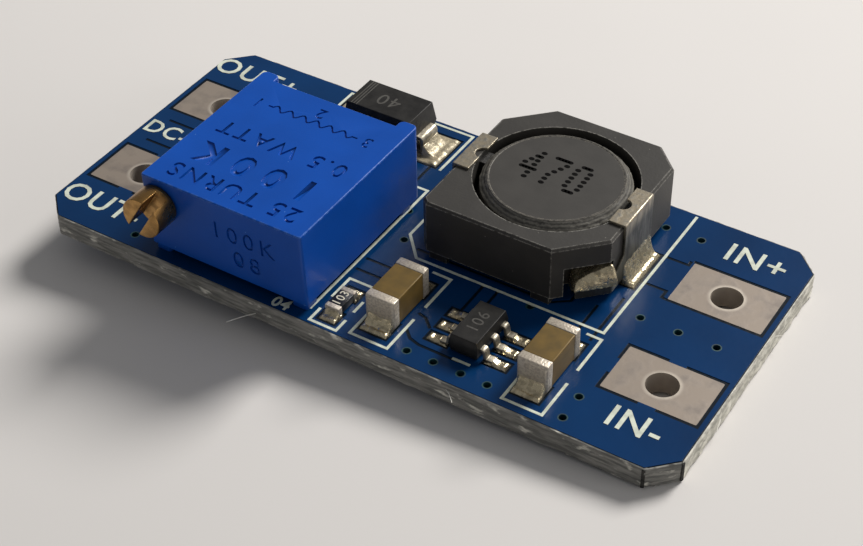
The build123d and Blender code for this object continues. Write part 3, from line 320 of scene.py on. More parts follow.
def levelled_tin():
    """Hot-air levelled tin on a land: dull warm grey, with smears and a paler ring at the hole."""
    material, tree, place = start_material("levelled_tin", Metallic=0.35, Specular_IOR_Level=0.4)
    axes = add_node(tree, "SeparateXYZ", {"Vector": place})
    from_hole = {}
    for axis, centre in zip("XY", middle("vin_plus_land")):
        away = add_node(tree, "Math", {0: axes.outputs[axis]}, operation="ABSOLUTE")
        from_hole[axis] = add_node(tree, "Math", {0: away, 1: centre}, operation="SUBTRACT")
    radius = add_node(
        tree, "VectorMath", {0: add_node(tree, "CombineXYZ", from_hole)}, operation="LENGTH")
    ring = add_node(
        tree, "MapRange",
        {"Value": radius.outputs["Value"],
         "From Min": LAND_HOLE_RADIUS + 0.2, "From Max": LAND_HOLE_RADIUS + 0.06})
    # Painted light: the hole's wall turns paler the deeper it goes, standing in for light that reaches
    # into the hole
    barrel = add_node(
        tree, "MapRange",
        {"Value": axes.outputs["Z"], "From Min": TOP - 0.02, "From Max": TOP - 0.3})
    smears = mottle(place, 0.9, 0.45, 0.7, detail=5.0)
    return dress(
        material, "#9c9084", ((smears, "#7f766e"), (ring, "#b3a99c"), (barrel, "#a79d92")),
        smears, 0.35, 0.012, (smears, 0.36, 0.55))


def box_edges(place):
    """A mask of the housing's outer edges: where two of its three sides are near."""
    tree = place.id_data
    axes = add_node(tree, "SeparateXYZ", {"Vector": place})
    near = []
    for axis, low, high in zip("XYZ", TRIM_LOW, TRIM_HIGH):
        value = axes.outputs[axis]
        for operation, amount in (
            ("SUBTRACT", (low + high) / 2), ("ABSOLUTE", 0), ("SUBTRACT", (high - low) / 2 - 0.25),
        ):
            value = add_node(tree, "Math", {0: value, 1: amount}, operation=operation)
        near.append(value)
    least, most = [
        add_node(tree, "Math", {0: near[0], 1: near[1]}, operation=operation)
        for operation in ("MINIMUM", "MAXIMUM")
    ]
    upper = add_node(tree, "Math", {0: most, 1: near[2]}, operation="MINIMUM")
    second = add_node(tree, "Math", {0: least, 1: upper}, operation="MAXIMUM")
    return add_node(tree, "MapRange", {"Value": second, "From Max": 0.08})


def trimmer_plastic(look):
    """Glass-filled moulded thermoset: strong blue with a satin skin, and edges rubbed pale."""
    material, tree, place = start_material(
        "moulded_blue_plastic", Roughness=0.34, Specular_IOR_Level=0.22)
    rubbed = add_node(
        tree, "Math",
        {0: worn_edges(place, 0.09, 0.3, 0.44, 0.54), 1: box_edges(place)},
        operation="MULTIPLY")
    grain = add_node(tree, "TexNoise", {"Vector": place, "Scale": 1 / 0.12, "Detail": 3.0})
    return dress(material, with_alpha(look.plastic_colour, 0.92), (
        (mottle(place, 2.5, 0.3, 0.7), with_alpha(look.plastic_colour, 1.06)),
        (specks(place, 1.1, 0.03), "#5e8fd6"), (rubbed, "#7fa6e2")), grain, 0.5, 0.008)


def potting_resin():
    """Filled epoxy that closes the trimmer: dull dark blue-grey, a little uneven."""
    material, _, place = start_material("potting_resin", Roughness=0.5)
    return dress(material, "#1c2f55", [(mottle(place, 0.8), "#2a4270")])


def turned_brass(look):
    """Turned free-cutting brass: warm yellow, fine tool lines and a few dull patches."""
    material, tree, place = start_material("turned_brass", Metallic=1.0)
    dull = mottle(place, 0.5, 0.4, 0.7, detail=5.0)
    tool_lines = add_node(
        tree, "TexWave", {"Vector": place, "Scale": 1 / 0.35, "Distortion": 2.0}, bands_direction="Y")
    return dress(
        material, with_alpha(look.brass_colour), [(dull, with_alpha(look.brass_colour, 0.62))],
        tool_lines, 0.35, 0.01, (dull, 0.24, 0.42))


def mottled_finish(
        name, dark, light, size, roughness, depth, metallic=0.0, stretch=(1, 1, 1), specular=0.5):
    """A finish that is one material with fine variation in its colour and height."""
    material, _, place = start_material(
        name, Roughness=roughness, Metallic=metallic, Specular_IOR_Level=specular)
    variation = mottle(place, size, stretch=stretch)
    return dress(material, dark, [(variation, light)], variation, 0.6, depth)


def bright_solder(look, name="reflowed_solder", metallic=0.85, shine=(0.18, 0.42), tone=1.0):
    """Reflowed tin solder: bright, flowing, with a dull skin in patches."""
    material, _, place = start_material(name, Metallic=metallic)
    skin = mottle(place, 0.28, 0.42, 0.66, detail=4.0)
    return dress(
        material, with_alpha(look.solder_colour, tone),
        [(skin, with_alpha(look.solder_colour, 0.55 * tone))], skin, 0.6, 0.03, (skin, *shine))


def pressed_ferrite(look):
    """Pressed and fired ferrite: charcoal grey, fine pores, edges rubbed to pale grey."""
    material, tree, place = start_material("pressed_ferrite", Roughness=0.48, Specular_IOR_Level=0.3)
    pores = add_node(tree, "TexNoise", {"Vector": place, "Scale": 1 / 0.14, "Detail": 4.0})
    return dress(material, with_alpha(look.ferrite_colour, 0.85), (
        (mottle(place, 1.6, 0.3, 0.7), with_alpha(look.ferrite_colour, 1.1)),
        (specks(place, 0.7, 0.035), "#77736c"),
        (worn_edges(place, 0.1, 0.2, 0.36, 0.55), with_alpha(look.worn_colour))),
        pores, 0.6, 0.012)


def ground_ferrite(look):
    """The drum's ground face: smoother ferrite with turning marks on its rim and rubbed edges."""
    material, tree, place = start_material("ground_ferrite", Roughness=0.5, Specular_IOR_Level=0.3)
    centre = middle("inductor_core")
    level = add_node(tree, "VectorMath", {0: place, 1: (1, 1, 0)}, operation="MULTIPLY")
    from_centre = add_node(
        tree, "VectorMath", {0: level, 1: (centre.x, centre.y, 0)}, operation="DISTANCE")
    rim = add_node(
        tree, "MapRange",
        {"Value": from_centre.outputs["Value"], "From Min": RIM_TURNED_RADII[0],
         "From Max": RIM_TURNED_RADII[1], "To Max": 0.8})
    about_centre = add_node(tree, "Mapping", {"Vector": place, "Location": (-centre.x, -centre.y, 0)})
    rings = add_node(
        tree, "TexWave",
        {"Vector": about_centre, "Scale": 1 / 0.45, "Distortion": 2.2, "Detail": 4.0,
         "Detail Scale": 3.0},
        wave_type="RINGS", rings_direction="Z")
    turned = add_node(
        tree, "Mix", {"Factor": rings, "A": linear("#4a4844"), "B": linear("#7d7a72")}, data_type="RGBA")
    pores = add_node(tree, "TexNoise", {"Vector": place, "Scale": 1 / 0.1, "Detail": 3.0})
    return dress(material, with_alpha(look.ferrite_colour, 0.95), (
        (mottle(place, 1.2, 0.3, 0.7), with_alpha(look.ferrite_colour, 1.2)),
        (rim, turned), (worn_edges(place, 0.07, 0.16, 0.34, 0.56), "#8d877b")),
        pores, 0.4, 0.006)


def tinned_terminal():
    """Tin-plated folded strip: warm grey, rubbed streaks, bright folds, and lower down dark flux with a
    painted dark reflection.
    """
    material, tree, place = start_material("tinned_terminal", Metallic=0.7)
    streaks = mottle(place, 0.25, 0.35, 0.7, detail=5.0, stretch=(1, 1, 0.25))
    axes = add_node(tree, "SeparateXYZ", {"Vector": place})
    # Lower down the strip turns dark bluish grey: flux, and a painted reflection of its dark surroundings
    flux_and_painted_reflection = add_node(
        tree, "MapRange",
        {"Value": axes.outputs["Z"], "From Min": SHIELD_HIGH.z - 0.1,
         "From Max": SHIELD_HIGH.z - 0.7, "To Max": 0.85})
    rubbed = worn_edges(place, 0.05, 0.2, 0.3, 0.5)
    return dress(
        material, "#aea28c", ((streaks, "#77746d"), (flux_and_painted_reflection, "#2b3032"), (rubbed, "#dccfae")),
        streaks, 0.5, 0.015, (streaks, 0.3, 0.5))


def moulding_compound():
    """Black epoxy moulding compound: matt with a fine grain, edges a little paler."""
    material, tree, place = start_material("moulding_compound", Roughness=0.42, Specular_IOR_Level=0.25)
    grain = add_node(tree, "TexNoise", {"Vector": place, "Scale": 1 / 0.09, "Detail": 3.0})
    return dress(material, "#1c1b1a", (
        (mottle(place, 0.6), "#2a2927"),
        (worn_edges(place, 0.04, 0.2, 0.45, 0.65), "#5a5853")), grain, 0.6, 0.01)


def capacitor_ceramic():
    """Fired ceramic dielectric: olive brown, satin, with golden worn edges."""
    material, _, place = start_material("fired_ceramic", Roughness=0.42, Specular_IOR_Level=0.3)
    return dress(material, "#5b4a26", (
        (mottle(place, 0.7, 0.3, 0.7), "#70592a"),
        (worn_edges(place, 0.06, 0.3, 0.3, 0.55), "#b3914a")))


def plated_end():
    """Tin-plated fired silver at a chip part's ends: pale, speckled and softly bright."""
    material, _, place = start_material("plated_end", Metallic=0.45)
    flecks = mottle(place, 0.12, 0.4, 0.66, detail=2.0)
    return dress(material, "#cbc1b0", [(flecks, "#a89d90")], flecks, 0.6, 0.012, (flecks, 0.3, 0.55))


# Meshes

def mesh_of(bm, name):
    """Turn a mesh built in millimetres into Blender mesh data in metres."""
    bmesh.ops.scale(bm, vec=(MM, MM, MM), verts=bm.verts)
    mesh = bpy.data.meshes.new(name)
    bm.to_mesh(mesh)
    bm.free()
    return mesh


def placed(name, data):
    """A new object in the scene."""
    made = bpy.data.objects.new(name, data)
    bpy.context.scene.collection.objects.link(made)
    return made


def evaluated(holder):
    """The mesh that an object comes to once its modifiers or its text are worked out."""
    bpy.context.view_layer.update()
    return bpy.data.meshes.new_from_object(holder.evaluated_get(bpy.context.evaluated_depsgraph_get()))


def worked_out(holder):
    """What an object comes to, as a mesh to build on. The object is removed."""
    mesh = evaluated(holder)
    bpy.data.objects.remove(holder)
    bm = bmesh.new()
    bm.from_mesh(mesh)
    bpy.data.meshes.remove(mesh)
    return bm


def add_piece(name, bm, materials, slot, replaces=(), body=BODY, crease=35.0):
    """Make one finished piece: its mesh, its materials, its body and the nodes it stands for."""
    mesh = mesh_of(bm, name + "_plain")
    mesh.shade_smooth()
    mesh.set_sharp_from_angle(angle=math.radians(crease))
    piece = placed(name, mesh)
    piece.modifiers.new("even_shading", "WEIGHTED_NORMAL").keep_sharp = True
    piece.data = evaluated(piece)
    piece.data.name = name
    piece.modifiers.clear()
    bpy.data.meshes.remove(mesh)
    for material in materials if isinstance(materials, (list, tuple)) else [materials]:
        piece.data.materials.append(material)
    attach(piece, body)
    if replaces:
        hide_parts(*replaces)
    return piece


def add_copies(names, ending, width, material, slot, **more):
    """Finished copies of nodes, each standing for its node, with edges rounded by a width."""
    for name in names:
        bm = softened(name, width) if width else node_copy(name)
        add_piece(name + ending, bm, material, slot, [name], **more)


def finish_nodes(material, *names):
    """Give nodes of the part that stay as they are their material."""
    for name in names:
        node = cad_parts[name]
        if not node.material_slots:
            node.data.materials.append(material)
        for place in node.material_slots:
            place.material = material


def node_copy(name):
    """A copy of a node's mesh in millimetres, with its doubles merged and its flat faces whole."""
    bm = bmesh.new()
    bm.from_mesh(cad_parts[name].data)
    bmesh.ops.scale(bm, vec=(1 / MM,) * 3, verts=bm.verts)
    bmesh.ops.remove_doubles(bm, verts=bm.verts, dist=0.0005)
    bmesh.ops.dissolve_limit(
        bm, angle_limit=math.radians(1), verts=bm.verts, edges=bm.edges, delimit={"NORMAL"})
    return bm


def soften(bm, width, segments=2, angle=30.0):
    """Round every edge that is sharper than the angle."""
    sharp = [e for e in bm.edges if len(e.link_faces) == 2 and e.calc_face_angle(0) > math.radians(angle)]
    bmesh.ops.bevel(
        bm, geom=sharp, offset=width, offset_type="OFFSET", segments=segments,
        profile=0.5, affect="EDGES", clamp_overlap=True)
    return bm


def softened(name, width, segments=2):
    """A node's copy with rounded edges."""
    return soften(node_copy(name), width, segments)


def prism(bm, loop, z0, z1):
    """Add a closed upright prism over a loop of points."""
    area = sum(a[0] * b[1] - b[0] * a[1] for a, b in zip(loop, loop[1:] + loop[:1]))
    points = loop if area > 0 else loop[::-1]
    low = [bm.verts.new((x, y, z0)) for x, y in points]
    high = [bm.verts.new((x, y, z1)) for x, y in points]
    bm.faces.new(high)
    bm.faces.new(low[::-1])
    for i in range(len(points)):
        j = (i + 1) % len(points)
        bm.faces.new((low[i], low[j], high[j], high[i]))


def ribbon_side(points, width, closed):
    """The points of a line pushed to its left by half its width, mitred at its corners."""
    count = len(points)
    side = []
    for i, point in enumerate(points):
        here = Vector(point)
        before = Vector(points[i - 1]) if closed or i else None
        after = Vector(points[(i + 1) % count]) if closed or i < count - 1 else None
        d0 = (here - before).normalized() if before is not None else None
        d1 = (after - here).normalized() if after is not None else None
        d0, d1 = d0 or d1, d1 or d0
        normal = Vector((-(d0.y + d1.y), d0.x + d1.x)).normalized()
        spread = max(0.35, normal.dot(Vector((-d0.y, d0.x))))
        side.append(here + normal * (width / 2 / spread))
    return [tuple(p) for p in side]


def ribbon(bm, points, width, z0, z1, closed=False):
    """Add a raised line along points, as one closed strip."""
    left = ribbon_side(points, width, closed)
    right = ribbon_side(points, -width, closed)
    count = len(points)
    rings = [
        [bm.verts.new((*p, z)) for p in line]
        for line, z in ((left, z0), (left, z1), (right, z1), (right, z0))
    ]
    spans = range(count if closed else count - 1)
    for i in spans:
        j = (i + 1) % count
        for a, b in ((0, 1), (1, 2), (2, 3), (3, 0)):
            bm.faces.new((rings[a][i], rings[a][j], rings[b][j], rings[b][i]))
    if not closed:
        bm.faces.new([ring[0] for ring in rings])
        bm.faces.new([ring[-1] for ring in rings][::-1])


def turned_out(bm):
    """Point every face outwards."""
    bmesh.ops.recalc_face_normals(bm, faces=bm.faces)
    return bm


def rectangle(cx, cy, size_x, size_y):
    """A rectangle's corners."""
    hx, hy = size_x / 2, size_y / 2
    return [(cx - hx, cy - hy), (cx + hx, cy - hy), (cx + hx, cy + hy), (cx - hx, cy + hy)]


def circle(cx, cy, radius, count=24):
    """Points round a circle."""
    turns = [2 * math.pi * i / count for i in range(count)]
    return [(cx + radius * math.cos(t), cy + radius * math.sin(t)) for t in turns]


def text_shape(words, height, depth, matrix, weight=0.0, spacing=1.0):
    """Lettering as a closed mesh, its capitals this high, centred on the matrix's origin."""
    curve = bpy.data.curves.new("lettering", "FONT")
    for key, value in (
        ("body", words), ("size", height / CAPITAL_SHARE), ("extrude", depth / 2),
        ("offset", weight), ("space_character", spacing), ("resolution_u", 3),
        ("align_x", "CENTER"), ("align_y", "CENTER"),
    ):
        setattr(curve, key, value)
    bm = worked_out(placed("lettering", curve))
    bmesh.ops.remove_doubles(bm, verts=bm.verts, dist=0.0005)
    bmesh.ops.transform(bm, matrix=matrix, verts=bm.verts)
    return bm


def join(bm, other):
    """Add another mesh to this one."""
    mesh = bpy.data.meshes.new("joined")
    other.to_mesh(mesh)
    other.free()
    bm.from_mesh(mesh)
    bpy.data.meshes.remove(mesh)
    return bm


def carved(body, tool):
    """The body less the tool, both in millimetres, by an exact cut."""
    holders = []
    for part in (body, tool):
        mesh = bpy.data.meshes.new("carving")
        part.to_mesh(mesh)
        part.free()
        holders.append(placed("carving", mesh))
    cut = holders[0].modifiers.new("cut", "BOOLEAN")
    cut.operation = "DIFFERENCE"
    cut.solver = "EXACT"
    cut.use_self = True
    cut.object = holders[1]
    bm = worked_out(holders[0])
    bpy.data.objects.remove(holders[1])
    if not bm.faces:
        raise RuntimeError("a cut left nothing of its piece")
    return bm


# Geometry nodes for what repeats

def repeat_tree(name, sizes, shape, material):
    """Nodes that put a shape on every point, turn it into plain geometry and set its material."""
    tree = bpy.data.node_groups.new(name, "GeometryNodeTree")
    tree.interface.new_socket("Geometry", in_out="INPUT", socket_type="NodeSocketGeometry")
    for size in sizes:
        tree.interface.new_socket(size, in_out="INPUT", socket_type="NodeSocketFloat")
    tree.interface.new_socket("Geometry", in_out="OUTPUT", socket_type="NodeSocketGeometry")
    given = add_node(tree, "NodeGroupInput")
    placed = add_node(
        tree, "InstanceOnPoints",
        {"Points": given.outputs["Geometry"], "Instance": shape(tree, given)})
    plain = add_node(tree, "RealizeInstances", {"Geometry": placed})
    finished = add_node(tree, "SetMaterial", {"Geometry": plain, "Material": material})
    add_node(tree, "NodeGroupOutput", {"Geometry": finished})
    return tree


def grown(points, tree, sizes):
    """A mesh in millimetres that the nodes make from points, with their sizes set by name."""
    mesh = bpy.data.meshes.new("points")
    mesh.from_pydata([tuple(p) for p in points], [], [])
    holder = placed("points", mesh)
    modifier = holder.modifiers.new("repeat", "NODES")
    modifier.node_group = tree
    for item in tree.interface.items_tree:
        if item.in_out == "INPUT" and item.name in sizes:
            modifier[item.identifier] = sizes[item.name]
    bm = worked_out(holder)
    if not bm.faces:
        raise RuntimeError(f"{tree.name} made no faces")
    return bm


def ring_shape(tree, given):
    """A plated barrel: a ring with its wall drawn from one lip to the other."""
    line = add_node(tree, "CurvePrimitiveCircle", {"Resolution": 20, "Radius": given.outputs["Radius"]})
    wall = add_node(
        tree, "CurvePrimitiveQuadrilateral",
        {"Width": given.outputs["Wall"], "Height": given.outputs["Height"]})
    return add_node(tree, "CurveToMesh", {"Curve": line, "Profile Curve": wall})


def dot_shape(tree, given):
    """A printed dot: a thin disc drawn out along X."""
    disc = add_node(
        tree, "MeshCylinder",
        {"Vertices": 12, "Radius": given.outputs["Radius"], "Depth": given.outputs["Height"]})
    return add_node(tree, "Transform", {"Geometry": disc.outputs["Mesh"], "Scale": (1, 0.74, 1)})


# Solder

def close_grid(bm, top, low):
    """Join an upper and a lower grid of points into one closed skin."""
    last, end = len(top) - 1, len(top[0]) - 1
    for i in range(last):
        for j in range(end):
            bm.faces.new((top[i][j], top[i + 1][j], top[i + 1][j + 1], top[i][j + 1]))
            bm.faces.new((low[i][j + 1], low[i + 1][j + 1], low[i + 1][j], low[i][j]))
        bm.faces.new((low[i][0], low[i + 1][0], top[i + 1][0], top[i][0]))
        bm.faces.new((top[i][end], top[i + 1][end], low[i + 1][end], low[i][end]))
    for j in range(end):
        bm.faces.new((top[0][j], top[0][j + 1], low[0][j + 1], low[0][j]))
        bm.faces.new((low[last][j], low[last][j + 1], top[last][j + 1], top[last][j]))


def pool(bm, origin, outwards, reach, width, under, bed, rise, rise_width, step, seed):
    """Add a joint: a domed bed over its pad, drawn up the metal at its origin in a hollow slope."""
    towards = Vector(outwards).normalized()
    across = Vector((-towards.y, towards.x, 0))
    rows = max(4, round(reach / step))
    hidden = max(1, round(under / (3 * step)))
    inner = [-under + (under - step) * i / hidden for i in range(hidden + 1)]
    outer = [-step / 2] + [reach * (i / rows) ** 1.2 for i in range(rows + 1)]
    columns = max(6, round(width / step))
    along = [("bed", u) for u in inner] + [("slope", u) for u in outer]
    edge = min(0.16, width / 4, reach / 3)
    bead_place, bead_spread = 0.78, 0.16
    top, low = [], []
    for kind, u in along:
        top_row, low_row = [], []
        for j in range(columns + 1):
            v = width * (j / columns - 0.5)
            rim = min(width / 2 - abs(v), reach - u, u + under)
            dome = math.sqrt(max(0.0, 1 - (1 - min(1.0, rim / edge)) ** 2))
            climb = max(0.0, 1 - max(0.0, u) / reach) ** 2.6
            side = min(1.0, max(0.0, (rise_width / 2 - abs(v)) / 0.2 + 0.9))
            ripple = noise.noise(Vector((u * 2.6, v * 2.6, seed))) * 0.5
            bead = math.exp(-((u / reach - bead_place) / bead_spread) ** 2)
            height = bed * (1 + 0.5 * ripple + 1.1 * bead * (1 + ripple))
            if kind == "slope":
                height += (rise - bed) * climb * side * (1 + 0.25 * ripple)
            point = Vector(origin) + towards * u + across * v
            top_row.append(bm.verts.new(point + Vector((0, 0, height * dome + 0.004))))
            low_row.append(bm.verts.new(point - Vector((0, 0, 0.01))))
        top.append(top_row)
        low.append(low_row)
    close_grid(bm, top, low)


def joint_list():
    """Every surface-mount joint: its piece, origin, direction and sizes."""
    joints = []
    for part, reach, width, under, rise in (
        ("input_capacitor", 0.66, 1.5, 0.5, 0.6),
        ("output_capacitor", 0.66, 1.5, 0.5, 0.6),
        ("resistor", 0.5, 0.9, 0.3, 0.34),
    ):
        front, _ = node_box(part + "_end_front")
        _, back = node_box(part + "_end_back")
        x = middle(part + "_end_back").x
        for y, way in ((front.y, -1), (back.y, 1)):
            joints.append((part, (x, y, TOP), (0, way, 0), reach, width, under, rise, width - 0.1))
    leads = [("diode", "diode_lead_anode", 1), ("diode", "diode_lead_cathode", -1)]
    leads += [("regulator", f"regulator_lead_{n}", -1 if n <= 3 else 1) for n in range(1, 7)]
    sizes = {"diode": (1.1, 2.6, 1.1, 0.6, 1.45), "regulator": (0.72, 0.55, 0.42, 0.2, 0.4)}
    for part, lead, way in leads:
        low, high = node_box(lead)
        x = high.x if way > 0 else low.x
        joints.append((part, (x, middle(lead).y, TOP), (way, 0, 0), *sizes[part]))
    for x, way in ((SHIELD_HIGH.x + TERMINAL_THICK, 1), (SHIELD_LOW.x - TERMINAL_THICK, -1)):
        joints.append(
            ("inductor", (x, TERMINAL_Y, TOP), (way, 0, 0), 0.62, TERMINAL_WIDTH,
             TERMINAL_THICK, 1.2, TERMINAL_WIDTH))
    return joints


def pad_outline(joint, clearance):
    """The rectangle that a joint's pad covers, grown by a clearance."""
    _, origin, way, reach, width, under, _, _ = joint
    long_size = reach + under + 2 * clearance
    centre = Vector(origin) + Vector(way) * (reach - under) / 2
    if way[0]:
        return rectangle(centre.x, centre.y, long_size, width + 2 * clearance)
    return rectangle(centre.x, centre.y, width + 2 * clearance, long_size)


# Board

def board_outline(margin):
    """The board's outline with its cut corners, drawn in by a margin."""
    hx, hy = BOARD_HIGH.x - margin, BOARD_HIGH.y - margin
    cut = CORNER_CUT - margin * (2 - math.sqrt(2))
    return [
        (hx - cut, -hy), (hx, -hy + cut), (hx, hy - cut), (hx - cut, hy),
        (-hx + cut, hy), (-hx, hy - cut), (-hx, -hy + cut), (-hx + cut, -hy),
    ]


def land_gaps(spokes):
    """Lines of bare laminate round each wire land, broken where copper spokes cross."""
    lines = []
    for name in LAND_NODES:
        low, high = node_box(name)
        cx, cy = (low.x + high.x) / 2, (low.y + high.y) / 2
        half_x = (high.x - low.x + GAP_WIDTH) / 2
        half_y = (high.y - low.y + GAP_WIDTH) / 2
        outer = 1 if cx > 0 else -1
        if name.endswith("plus_land"):
            lines.append([
                (cx - outer * half_x, cy - half_y), (cx + outer * half_x, cy - half_y),
                (cx + outer * half_x, cy + half_y), (cx - outer * half_x, cy + half_y)])
            continue
        lines.append([
            (cx + outer * spokes, cy - half_y), (cx + outer * half_x, cy - half_y),
            (cx + outer * half_x, cy + half_y), (cx + outer * spokes, cy + half_y)])
        for side in (-1, 1):
            lines.append([
                (cx - outer * spokes, cy + side * half_y), (cx - outer * half_x, cy + side * half_y),
                (cx - outer * half_x, cy + side * 1.2 * spokes)])
    return lines


def track_gaps():
    """Lines of bare laminate between the board's copper areas."""
    return [
        [(11.0, 4.7), (12.48, 4.7), (12.48, 5.03)],
        [(11.0, 2.41), (12.4, 2.41), (12.4, 1.9), (12.6, 1.85)],
        [(4.65, -4.3), (4.65, -1.7)],
        [(5.47, -4.2), (5.47, -1.7)],
        [(10.05, -2.6), (10.05, -0.2)],
        [(10.9, -2.6), (10.9, 0.9)],
        [(3.0, -5.15), (3.5, -5.28), (4.05, -5.8)],
        [(3.0, -6.3), (3.6, -6.85), (4.2, -7.02), (6.4, -7.02)],
        [(0.4, -1.2), (8.0, -1.2), (8.8, -0.6), (8.8, 1.0)],
        [(-1.4, -4.0), (0.9, -4.0)],
        [(-1.4, -3.1), (0.9, -3.1)],
        [(-17.0, 0.95), (-11.2, 0.95)],
        [(-17.0, -1.05), (-11.2, -1.05)],
        [(-2.6, 3.3), (-2.6, 5.0)],
    ]


def copper_pour(face_z, rise, gaps, openings):
    """A sheet of masked copper on one face of the board, less its gaps and openings."""
    z0, z1 = sorted((face_z, face_z + rise))
    sheet = bmesh.new()
    prism(sheet, board_outline(POUR_MARGIN), z0, z1)
    tool = bmesh.new()
    for line in gaps:
        ribbon(tool, line, GAP_WIDTH, z0 - 0.1, z1 + 0.1)
    for loop in openings:
        prism(tool, loop, z0 - 0.1, z1 + 0.1)
    return carved(sheet, turned_out(tool))


def silkscreen_lines():
    """The printed outlines, each a line of points and whether it closes."""
    front, right, side = SHIELD_LOW.y - 0.31, SHIELD_HIGH.x + 1.02, TRIM_HIGH.x - 0.11
    return [
        [(right, 8.3), (right, front), (0.75, front), (-0.5, -0.42), (-0.5, 2.2)],
        [(side, -7.6), (side, 3.0), (-11.3, 3.0)],
        [(-2.0, 4.78), (-2.0, 8.2), (-9.85, 8.2), (-9.85, 4.78)],
        [(0.97, -6.1), (0.97, -8.02), (3.07, -8.02), (3.07, -5.66)],
        [(3.08, -4.68), (3.08, -2.31), (2.0, -2.29)],
        [(0.33, -7.4), (0.33, -8.25), (-1.2, -8.25), (-1.2, -7.3)],
        [(-1.2, -6.35), (-1.2, -4.79), (0.55, -4.79)],
        [(0.33, -6.75), (0.33, -5.9)],
        [(9.29, -6.2), (9.29, -8.02), (11.38, -8.02), (11.38, -5.65)],
        [(11.37, -4.68), (11.36, -2.28), (10.55, -2.26)],
        [(6.02, -6.97), (6.98, -6.97)],
    ]


def board_labels(height, depth):
    """The printed labels beside the lands: what goes in and out, with its sign."""
    bm = bmesh.new()
    level = TOP + POUR_RISE + INK_RISE / 2
    for words, x, y, size in (
        ("IN+", 15.2, 6.62, height), ("IN-", 15.2, -6.42, height),
        ("OUT+", -15.35, 6.7, height), ("OUT-", -15.4, -6.6, height),
        ("DC-DC", -15.3, 0.0, 0.78 * height), ("04", -3.0, -8.05, 0.5 * height),
    ):
        join(bm, text_shape(words, size, depth, Matrix.Translation((x, y, level)), 0.02, 1.08))
    return bm


def edge_strip():
    """The board's cut edge as a rough skin: torn layers and a pale lip over the mask."""
    bm = bmesh.new()
    outline = board_outline(0.0)
    step = 0.12
    points = []
    for a, b in zip(outline, outline[1:] + outline[:1]):
        start, stop = Vector(a), Vector(b)
        count = max(2, round((stop - start).length / step))
        normal = Vector(((stop - start).y, -(stop - start).x)).normalized()
        points += [(start.lerp(stop, i / count), normal) for i in range(count)]
    lip, inside, layers = 0.03, 0.25, 9
    rows = [(-inside, TOP - 0.05), (-lip, TOP - 0.02), (-lip, TOP - 0.002), (0.0, TOP - 0.02)]
    rows += [(0.0, (TOP - 0.02) * (1 - i / layers)) for i in range(1, layers)]
    rows += [(0.0, 0.01), (-lip, -0.008), (-lip, 0.01), (-inside, 0.05)]
    grid = []
    for point, normal in points:
        ring = []
        torn = 1.7 if normal.x > 0.3 else 0.8
        for row, (out, z) in enumerate(rows):
            rough = noise.noise(Vector((point.x * 1.7, point.y * 1.7, z * 5.0)))
            fine = noise.noise(Vector((point.x * 6.0, point.y * 6.0, z * 9.0 + 20)))
            shown = 0 < row < len(rows) - 1
            push = out + (torn * (0.03 + 0.035 * rough + 0.035 * fine) if shown and out > -0.01 else 0)
            if shown and out < -0.01:
                push += 0.03 * fine
            place = point + normal * push
            ring.append(bm.verts.new((place.x, place.y, z)))
        grid.append(ring)
    count = len(grid)
    for i in range(count):
        after = grid[(i + 1) % count]
        for k in range(len(rows)):
            m = (k + 1) % len(rows)
            face = bm.faces.new((grid[i][k], after[k], after[m], grid[i][m]))
            # The short ends take the paler snapped laminate: chips, and painted light
            face.material_index = 1 if abs(points[i][1].x) > 0.9 else 0
    return turned_out(bm)


def edge_scars():
    """Dark marks where the breaking tabs were cut off at one corner."""
    bm = bmesh.new()
    for x, y, turn in (
        (BOARD_HIGH.x - CORNER_CUT - 0.02, BOARD_LOW.y, 0.3),
        (BOARD_HIGH.x, BOARD_LOW.y + CORNER_CUT, 1.2),
    ):
        along = Vector((math.cos(turn), math.sin(turn)))
        out = Vector((along.y, -along.x))
        loop = [
            Vector((x, y)) + along * a + out * b
            for a, b in ((-0.07, -0.1), (0.06, -0.1), (0.09, 0.07), (0.0, 0.09), (-0.08, 0.08))
        ]
        prism(bm, [tuple(p) for p in loop], 0.04, TOP - 0.06)
    return turned_out(bm)


def edge_fibres():
    """Loose glass fibres that stick out of the cut edge."""
    bm = bmesh.new()
    for x, y, way_x, way_y, z in (
        (-4.2, -8.45, -0.9, -1.0, 0.35), (6.5, -8.45, 0.8, -0.35, 0.8),
        (17.95, -3.0, 0.3, -0.9, 0.5), (17.95, 2.6, 0.35, 0.6, 0.7),
    ):
        line = [(x + way_x * s, y + way_y * s - 0.3 * s * s) for s in (0.0, 0.25, 0.5, 0.75, 1.0)]
        ribbon(bm, line, 0.03, z, z + 0.03)
    return turned_out(bm)


